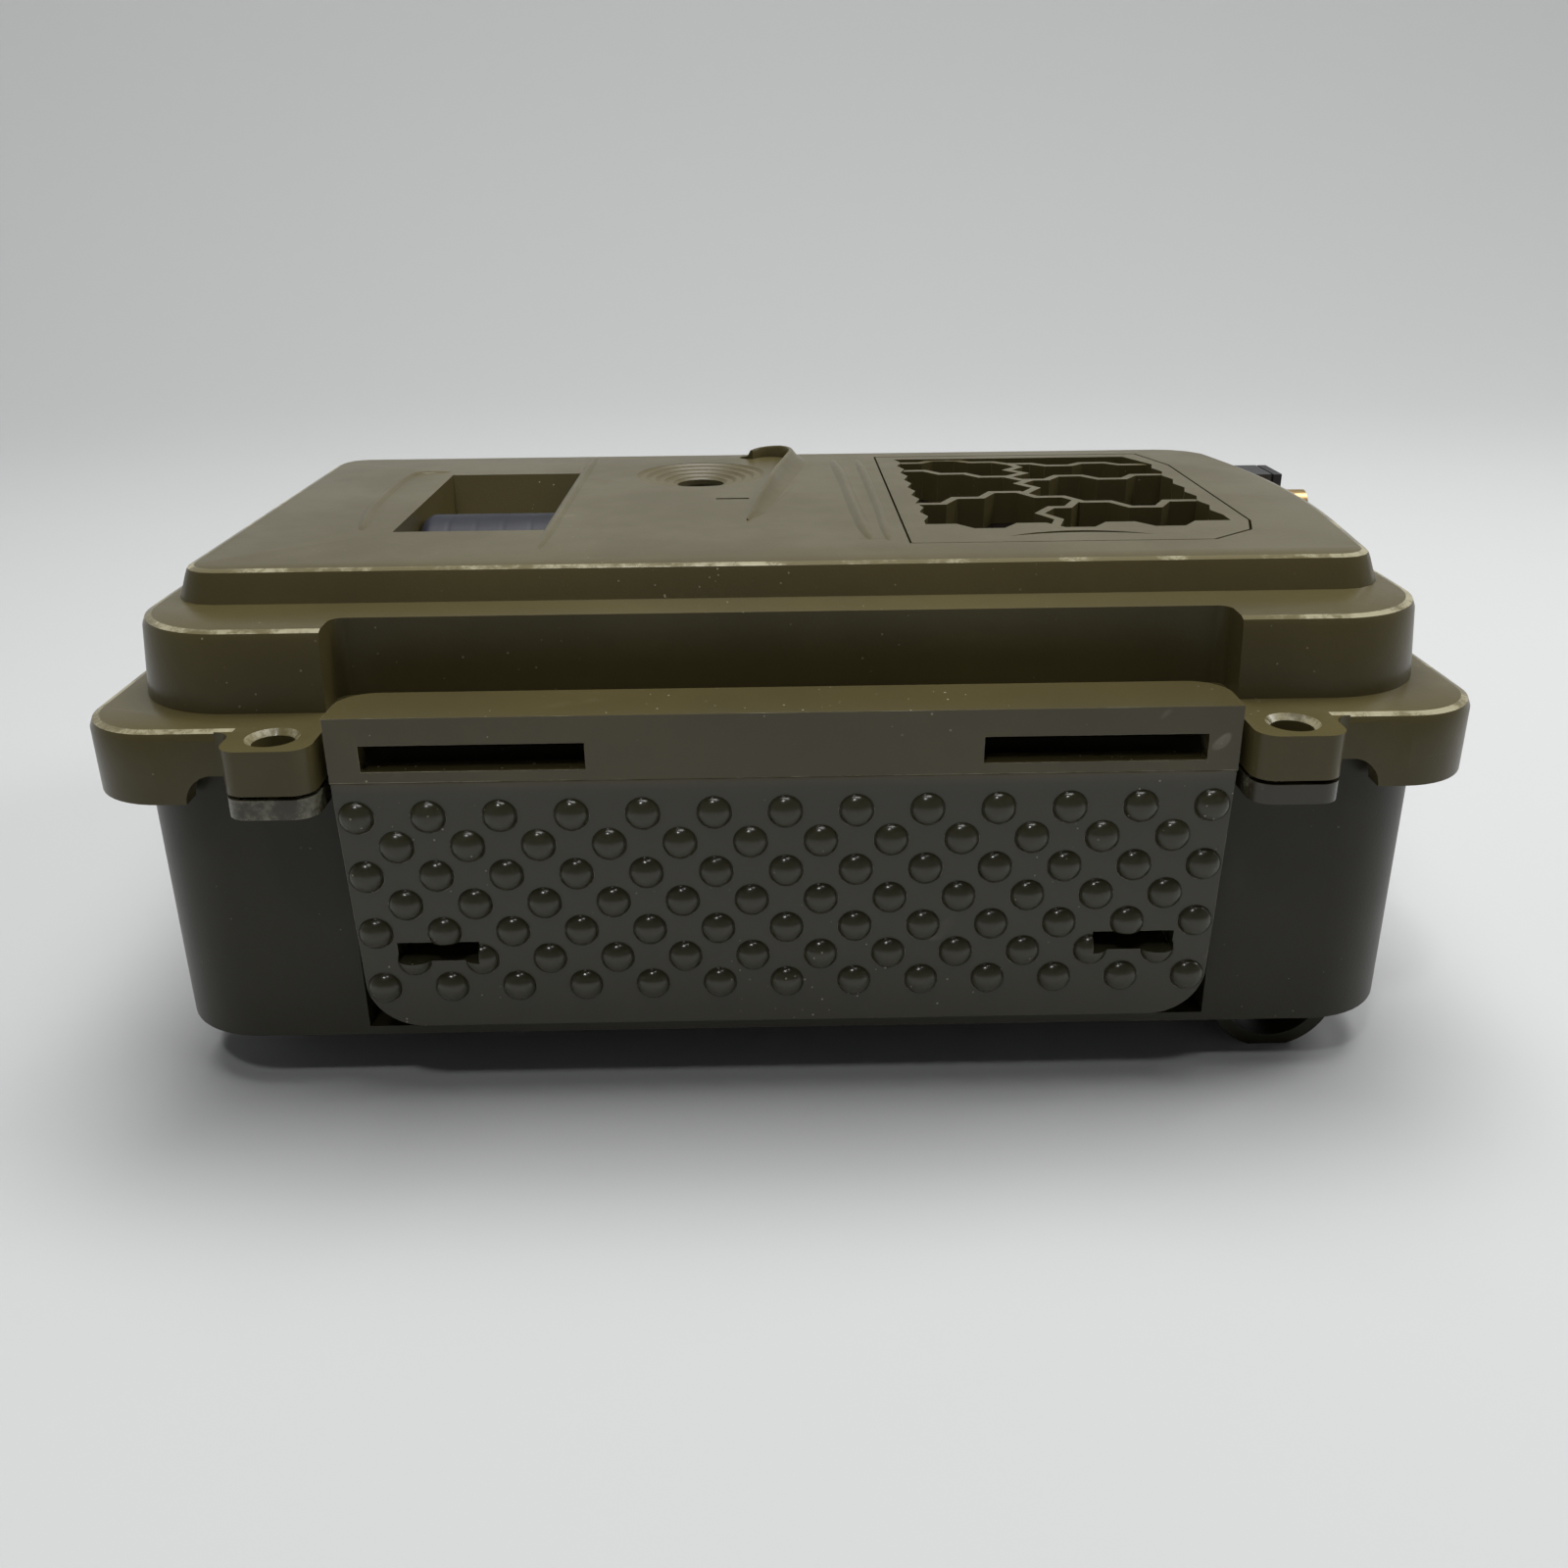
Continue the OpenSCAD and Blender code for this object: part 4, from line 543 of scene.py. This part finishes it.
def smoothPath(points, count):
    # evenly spread points on a soft curve through the given ones
    dense = []
    for i in range(len(points) - 1):
        near = [points[max(0, min(len(points) - 1, i + k))] for k in (-1, 0, 1, 2)]
        p0, p1, p2, p3 = (Vector((x, y, 0)) for x, y in near)
        for s in range(16):
            t = s / 16
            dense.append(0.5 * (2 * p1 + (p2 - p0) * t + (2 * p0 - 5 * p1 + 4 * p2 - p3) * t * t
                                + (3 * p1 - p0 - 3 * p2 + p3) * t ** 3))
    dense.append(Vector((*points[-1][:2], 0)))
    lengths = [0.0]
    for a, b in zip(dense, dense[1:]):
        lengths.append(lengths[-1] + (b - a).length)
    result, k = [], 0
    for i in range(count + 1):
        target = lengths[-1] * i / count
        while k < len(dense) - 2 and lengths[k + 1] < target:
            k += 1
        span = max(lengths[k + 1] - lengths[k], 1e-9)
        result.append(dense[k].lerp(dense[k + 1], (target - lengths[k]) / span))
    return result


def sideOf(path, i):
    # level direction square to the path at point i
    ahead = (path[min(i + 1, len(path) - 1)] - path[max(i - 1, 0)]).normalized()
    return Vector((ahead.y, -ahead.x, 0))


def onPanel(point, side, out, up):
    spot = point + side * out
    return (spot.x, spot.y, panel["top"] + up)


def hoodSize(t):
    # width and height at a share t of the hood's length
    curl = hood["curlFrom"]
    if t < curl:
        swell = min(1, 0.12 + 0.45 * min(1, t / 0.08) + 0.43 * min(1, t / 0.6))
    else:
        swell = 1.0 - 0.5 * ((t - curl) / (1 - curl)) ** 1.5
    rise = 0.12 + 0.88 * min(1, t / hood["fullHeightAt"])
    drop = 1.0 - 2.2 * max(0, t - hood["dropFrom"])
    return hood["width"] * swell, hood["height"] * rise * drop


def makeHood():
    path = smoothPath(hood["path"], hood["steps"])
    rings = []
    for i, point in enumerate(path):
        side = sideOf(path, i)
        wide, tall = hoodSize(i / hood["steps"])
        rings.append([onPanel(point, side, u * wide, max(v, hood["lowest"]) * tall)
                      for u, v in hood["profile"]])
    piece = pieceFrom("lens_hood.look", gridMesh("lensHood", rings))
    settle(piece, body="door", slot="cover_plastic")


ridges = {"ribs": [[(9.9, 32.5), (10.4, 22.0), (10.8, 12.0), (11.2, -4.0), (11.7, -20.0),
                    (12.1, -27.4)],
                   [(14.0, 32.5), (14.4, 18.0), (14.6, 4.0), (14.7, -10.0), (14.6, -20.0),
                    (14.5, -28.0)],
                   [(-31.2, 38.5), (-31.4, 20.0), (-31.5, 0.0), (-31.5, -14.0), (-31.5, -24.0),
                    (-31.5, -30.0)],
                   [(-54.0, 26.0), (-58.6, 25.2), (-60.3, 22.0), (-60.5, 11.0), (-59.9, -3.6),
                    (-57.8, -17.6)]],
          "wide": [1.9, 1.5, 1.6, 1.8], "tall": [0.55, 0.45, 0.42, 0.36], "steps": 40, "fade": 5,
          "sunk": 0.01, "profile": [(-0.5, -0.5), (-0.5, 0), (-0.36, 0.35), (-0.18, 0.82), (0, 1),
                                    (0.18, 0.82), (0.36, 0.35), (0.5, 0), (0.5, -0.5)]}


def makeRidges():
    # soft moulded lines on the panel, each fading out at its ends
    steps = ridges["steps"]
    for n, points in enumerate(ridges["ribs"]):
        path = smoothPath(points, steps)
        rings = []
        for i, point in enumerate(path):
            side = sideOf(path, i)
            fade = min(1, i / ridges["fade"], (steps - i) / ridges["fade"]) ** 0.5
            wide = ridges["wide"][n] * (0.3 + 0.7 * fade)
            tall = ridges["tall"][n] * (0.02 + 0.98 * fade)
            rings.append([onPanel(point, side, u * wide, v * tall - ridges["sunk"])
                          for u, v in ridges["profile"]])
        piece = pieceFrom("panel_line_%d.look" % (n + 1), gridMesh("panelLine", rings))
        settle(piece, body="door", slot="cover_plastic")


sensorLens = {"centre": (-42.5, -1.5, 54.6), "length": 20.2, "radius": 8.8, "wall": 1.2,
              "endDrop": 0.7, "columns": 5, "rows": 4, "groove": 0.05, "grooveFrom": 0.46,
              "lengthSteps": 60, "turnSteps": 48}


def makeSensorLens():
    # half-round film with shallow grooves between its facets
    cx, cy, cz = sensorLens["centre"]
    half, radius = sensorLens["length"] / 2, sensorLens["radius"]
    inner = radius - sensorLens["wall"]
    lengths, turns = sensorLens["lengthSteps"], sensorLens["turnSteps"]
    flat = sensorLens["grooveFrom"]

    def skin(u, turn):
        across = abs((u * sensorLens["columns"]) % 1 - 0.5)
        around = abs((turn * sensorLens["rows"]) % 1 - 0.5)
        cut = max(0, (max(across, around) - flat) / (0.5 - flat))
        return radius - sensorLens["groove"] * cut

    rings = []
    for i in range(lengths + 1):
        u = i / lengths
        x = cx - half + 2 * half * u
        end = min(1, min(u, 1 - u) * 14)
        ring = []
        for k in range(turns + 1):
            angle = math.pi * k / turns
            r = skin(u, k / turns) - sensorLens["endDrop"] * (1 - end) ** 2
            ring.append((x, cy - r * math.cos(angle), cz + r * math.sin(angle)))
        for k in range(turns, -1, -6):
            angle = math.pi * k / turns
            ring.append((x, cy - inner * math.cos(angle), cz + inner * math.sin(angle)))
        rings.append(ring)
    lens = pieceFrom("pir_lens.look", gridMesh("pirLens", rings))
    settle(lens, "pir_lens")


makeCover()
makeHood()
makeRidges()
makeSensorLens()
print("front cover dressed")


# latch plate and its grip domes, in mm: the plate leans out from its foot to its face
latch = {"low": 11.2, "foot": -59.65, "face": -63.15, "band": 45.4,
         "domeRadius": 2.12, "domeHeight": 1.45, "pitch": 8.3, "rowPitch": 4.0, "rows": 7,
         "firstRow": 41.2, "columns": 13, "proud": 0.1,
         "slot": (42.5, 22.55, 10.0, 2.7), "slotDeep": (-70, -50),
         "rounding": 0.5, "lipFrom": 43, "endsFrom": 51, "plainShare": 0.55}


def latchFace(z):
    share = (z - latch["low"]) / (latch["band"] - latch["low"])
    return latch["foot"] + (latch["face"] + 0.3 - latch["foot"]) * share


def makeLatch():
    body = pieceFrom("latch.look", mergedCopy("latch"))
    giveMaterials(body, "latch_plastic")

    def share(edge):
        middle = edgeMiddle(edge)
        outer = middle.z > latch["lipFrom"] or abs(middle.x) > latch["endsFrom"]
        return 1.0 if outer else latch["plainShare"]

    roundEdges(body, latch["rounding"], 3, 34, share)
    settle(body, "latch")


def gripDomeTree():
    # a low dome on every point of a staggered grid
    tree = bpy.data.node_groups.new("gripDomes", "GeometryNodeTree")
    tree.interface.new_socket("Geometry", in_out="INPUT", socket_type="NodeSocketGeometry")
    tree.interface.new_socket("Geometry", in_out="OUTPUT", socket_type="NodeSocketGeometry")
    sockets = {}
    for label, size in (("Radius", latch["domeRadius"]), ("Height", latch["domeHeight"])):
        sockets[label] = tree.interface.new_socket(label, in_out="INPUT",
                                                   socket_type="NodeSocketFloat")
        sockets[label].default_value = size * mm
    material = tree.interface.new_socket("Finish", in_out="INPUT",
                                         socket_type="NodeSocketMaterial")
    material.default_value = finishes["latchOlive"]
    source, result = tree.nodes.new("NodeGroupInput"), tree.nodes.new("NodeGroupOutput")
    points = tree.nodes.new("GeometryNodeMeshToPoints")
    dome = tree.nodes.new("GeometryNodeMeshUVSphere")
    dome.inputs["Segments"].default_value = 20
    dome.inputs["Rings"].default_value = 12
    flatten = tree.nodes.new("ShaderNodeCombineXYZ")
    shrink = tree.nodes.new("ShaderNodeMath")
    shrink.operation = "DIVIDE"
    squeeze = tree.nodes.new("GeometryNodeTransform")
    spreadOut = tree.nodes.new("GeometryNodeInstanceOnPoints")
    real = tree.nodes.new("GeometryNodeRealizeInstances")
    paint = tree.nodes.new("GeometryNodeSetMaterial")
    soft = tree.nodes.new("GeometryNodeSetShadeSmooth")
    flatten.inputs[0].default_value = 1.0
    flatten.inputs[2].default_value = 1.0
    given = source.outputs
    for a, b in ((given["Geometry"], points.inputs["Mesh"]),
                 (given["Radius"], dome.inputs["Radius"]),
                 (given["Height"], shrink.inputs[0]),
                 (given["Radius"], shrink.inputs[1]),
                 (shrink.outputs[0], flatten.inputs[1]),
                 (dome.outputs["Mesh"], squeeze.inputs["Geometry"]),
                 (flatten.outputs[0], squeeze.inputs["Scale"]),
                 (points.outputs[0], spreadOut.inputs["Points"]),
                 (squeeze.outputs[0], spreadOut.inputs["Instance"]),
                 (spreadOut.outputs[0], real.inputs[0]),
                 (real.outputs[0], soft.inputs[0]),
                 (soft.outputs[0], paint.inputs["Geometry"]),
                 (given["Finish"], paint.inputs["Material"]),
                 (paint.outputs[0], result.inputs[0])):
        tree.links.new(a, b)
    return tree, sockets


def makeDomes():
    tree, sockets = gripDomeTree()
    mesh = bpy.data.meshes.new("gripPoints")
    spots = []
    for row in range(latch["rows"]):
        count = latch["columns"] - row % 2
        z = latch["firstRow"] - row * latch["rowPitch"]
        y = latchFace(z) + latch["proud"]
        spots += [((k - (count - 1) / 2) * latch["pitch"] * mm, y * mm, z * mm)
                  for k in range(count)]
    mesh.from_pydata(spots, [], [])
    domes = pieceFrom("grip_domes.look", mesh)
    grow = domes.modifiers.new("domes", "NODES")
    grow.node_group = tree
    grow[sockets["Radius"].identifier] = latch["domeRadius"] * mm
    grow[sockets["Height"].identifier] = latch["domeHeight"] * mm
    applied(domes)
    across, cz, length, width = latch["slot"]
    near, far = latch["slotDeep"]
    for cx in (-across, across):  # the domes stop at the small slots
        cutWith(domes, (cx - length / 2, near, cz - width / 2),
                (cx + length / 2, far, cz + width / 2))
    domes.data.materials.clear()
    for face in domes.data.polygons:
        face.material_index = 0
    settle(domes, body="latch_plate", slot="latch_plastic")


makeLatch()
makeDomes()
print("latch dressed")


# rear housing, and after it everything that keeps its shape
housing = {"rounding": 1.8, "floor": 8, "outer": (66, 43), "front": -56.5, "plainShare": 0.22,
           "eyes": (52.5, -57.2)}  # the padlock eyes lie beyond these


def makeHousing():
    def share(edge):
        middle = edgeMiddle(edge)
        outer = abs(middle.x) > housing["outer"][0] or abs(middle.y) > housing["outer"][1]
        atFloor = abs(middle.z - housing["floor"]) < 0.2 and middle.y > housing["front"]
        return 1.0 if atFloor and outer else housing["plainShare"]

    piece = dress("rear_housing", housing["rounding"], 4, 34, share)
    # the padlock eyes take the edge finish: pale wear with a painted highlight
    for face in piece.data.polygons:
        x, y = face.center.x / mm, face.center.y / mm
        if y < housing["eyes"][1] and abs(x) > housing["eyes"][0]:
            face.material_index = 1


makeHousing()
# edge rounding of each node in mm
dressing = {"gasket": 0.5, "upper_strap_bracket": 0.4, "lower_strap_bracket": 0.4,
            "bracket_screws": 0.12, "tripod_insert": 0.2, "battery_tray": 0.35,
            "tray_screws": 0.12, "contact_springs": 0, "contact_plates": 0.1,
            "terminal_pads": 0.12, "hinge_pins": 0.2, "latch_pins": 0.15, "pir_sensor": 0.2,
            "lens_window": 0.15, "lens_barrel": 0.25, "lens_glass": 0, "sensor_block": 0.3,
            "status_light": 0.25, "microphone": 0.2, "flash_grille": 0.22, "flash_window": 0.15,
            "led_board": 0.1, "led_spacers": 0.1, "flash_leds": 0, "main_board": 0.1,
            "board_spacers": 0.15, "board_screws": 0.12, "processor": 0.12, "display": 0.2,
            "display_window": 0.15, "key_switches": 0.15, "mode_switch": 0.15,
            "card_socket": 0.12, "inner_plate": 0.35, "plate_screws": 0.12,
            "door_contacts": 0.1, "antenna_jack": 0.15, "antenna_nut": 0.25,
            "antenna_washer": 0.1, "power_jack": 0.5, "jack_cap": 0.6, "up_button": 0.35,
            "down_button": 0.35, "left_button": 0.35, "right_button": 0.35, "ok_button": 0.35,
            "menu_button": 0.35, "mode_knob": 0.25, "memory_card": 0.15, "cell_1": 0.7,
            "cell_2": 0.7, "cell_3": 0.7, "cell_4": 0.7, "cell_5": 0.7, "cell_6": 0.7}
fineAbove = 0.3  # wider roundings get three segments
for node, width in dressing.items():
    dress(node, width, 3 if width > fineAbove else 2)
print("other nodes dressed:", len(dressing))


# floor, lamps and camera, in metres
paper = {"turns": 96, "shift": -0.3, "colour": (180, 181, 181), "rough": 0.9,
         "rings": ((0.4, 0.0), (0.8, 0.0), (0.92, 0.012), (1.02, 0.05), (1.1, 0.12), (1.15, 0.22),
                   (1.17, 0.4), (1.17, 1.4))}  # radius and height


def makeStage():
    # a round sheet of paper that turns up into a wall on every side
    bm = bmesh.new()
    middle = bm.verts.new((0, paper["shift"], 0))
    angles = [2 * math.pi * k / paper["turns"] for k in range(paper["turns"])]
    rings = [[bm.verts.new((r * math.cos(a), r * math.sin(a) + paper["shift"], z)) for a in angles]
             for r, z in paper["rings"]]
    for k in range(paper["turns"]):
        after = (k + 1) % paper["turns"]
        bm.faces.new((middle, rings[0][k], rings[0][after]))
        for a, b in zip(rings, rings[1:]):
            bm.faces.new((a[k], b[k], b[after], a[after]))
    for face in bm.faces:
        face.smooth = True
    mesh = bpy.data.meshes.new("paper")
    bm.to_mesh(mesh)
    bm.free()
    floor = pieceFrom("paper_floor", mesh)
    soften = floor.modifiers.new("soft", "SUBSURF")
    soften.levels = soften.render_levels = 2
    mat, tree, shader, where = newMaterial("palePaper")
    shader.inputs["Base Color"].default_value = rgb(*paper["colour"])
    shader.inputs["Roughness"].default_value = paper["rough"]
    mesh.materials.append(mat)


lamps = {"above": {"at": (0.03, 0.06, 0.82), "aim": (0, 0.0, 0.04), "size": 0.64, "power": 8.9},
         "wall": {"at": (0.0, 0.3, 1.0), "aim": (0, 0.9, 0.25), "size": 0.5, "power": 2.2},
         "front": {"at": (-0.12, -0.42, 0.66), "aim": (0, 0, 0.04), "size": 0.06, "power": 0.8},
         "right": {"at": (0.62, 0.1, 0.5), "aim": (0, 0, 0.04), "size": 0.3, "power": 1.9}}

surround = {"colour": (0.9, 0.91, 0.92, 1), "strength": 0.03}


def makeLamps():
    for name, lamp in lamps.items():
        data = bpy.data.lights.new(name, "AREA")
        data.shape = "SQUARE"
        data.size = lamp["size"]
        data.energy = lamp["power"]
        light = bpy.data.objects.new(name, data)
        scene.collection.objects.link(light)
        light.visible_camera = False
        light.location = lamp["at"]
        towards = Vector(lamp["aim"]) - Vector(lamp["at"])
        light.rotation_euler = towards.to_track_quat("-Z", "Y").to_euler()
    world = bpy.data.worlds.new("studio")
    scene.world = world
    world.use_nodes = True
    background = world.node_tree.nodes["Background"]
    background.inputs["Color"].default_value = surround["colour"]
    background.inputs["Strength"].default_value = surround["strength"]


# the photograph's viewpoint: place in mm, angles in radians
viewpoint = {"at": (-1.850, -213.674, 108.047), "pitch": 0.39721, "yaw": 0.01134, "roll": -0.01109,
             "lens": 32.625}


def makeCamera():
    pitch, yaw, roll = viewpoint["pitch"], viewpoint["yaw"], viewpoint["roll"]
    level = math.cos(pitch)
    ahead = Vector((math.sin(yaw) * level, math.cos(yaw) * level, -math.sin(pitch)))
    right = Vector((math.cos(yaw), -math.sin(yaw), 0))
    up = right.cross(ahead)
    rolledRight = right * math.cos(roll) + up * math.sin(roll)
    rolledUp = -right * math.sin(roll) + up * math.cos(roll)
    data = bpy.data.cameras.new("camera")
    data.lens = viewpoint["lens"]
    data.sensor_width = 36
    data.clip_start = 0.01
    camera = bpy.data.objects.new("camera", data)
    scene.collection.objects.link(camera)
    turn = Matrix((rolledRight, rolledUp, -ahead)).transposed().to_4x4()
    camera.matrix_world = Matrix.Translation(Vector(viewpoint["at"]) * mm) @ turn
    scene.camera = camera


makeStage()
makeLamps()
makeCamera()
scene.view_settings.view_transform = "Standard"
print("scene ready")
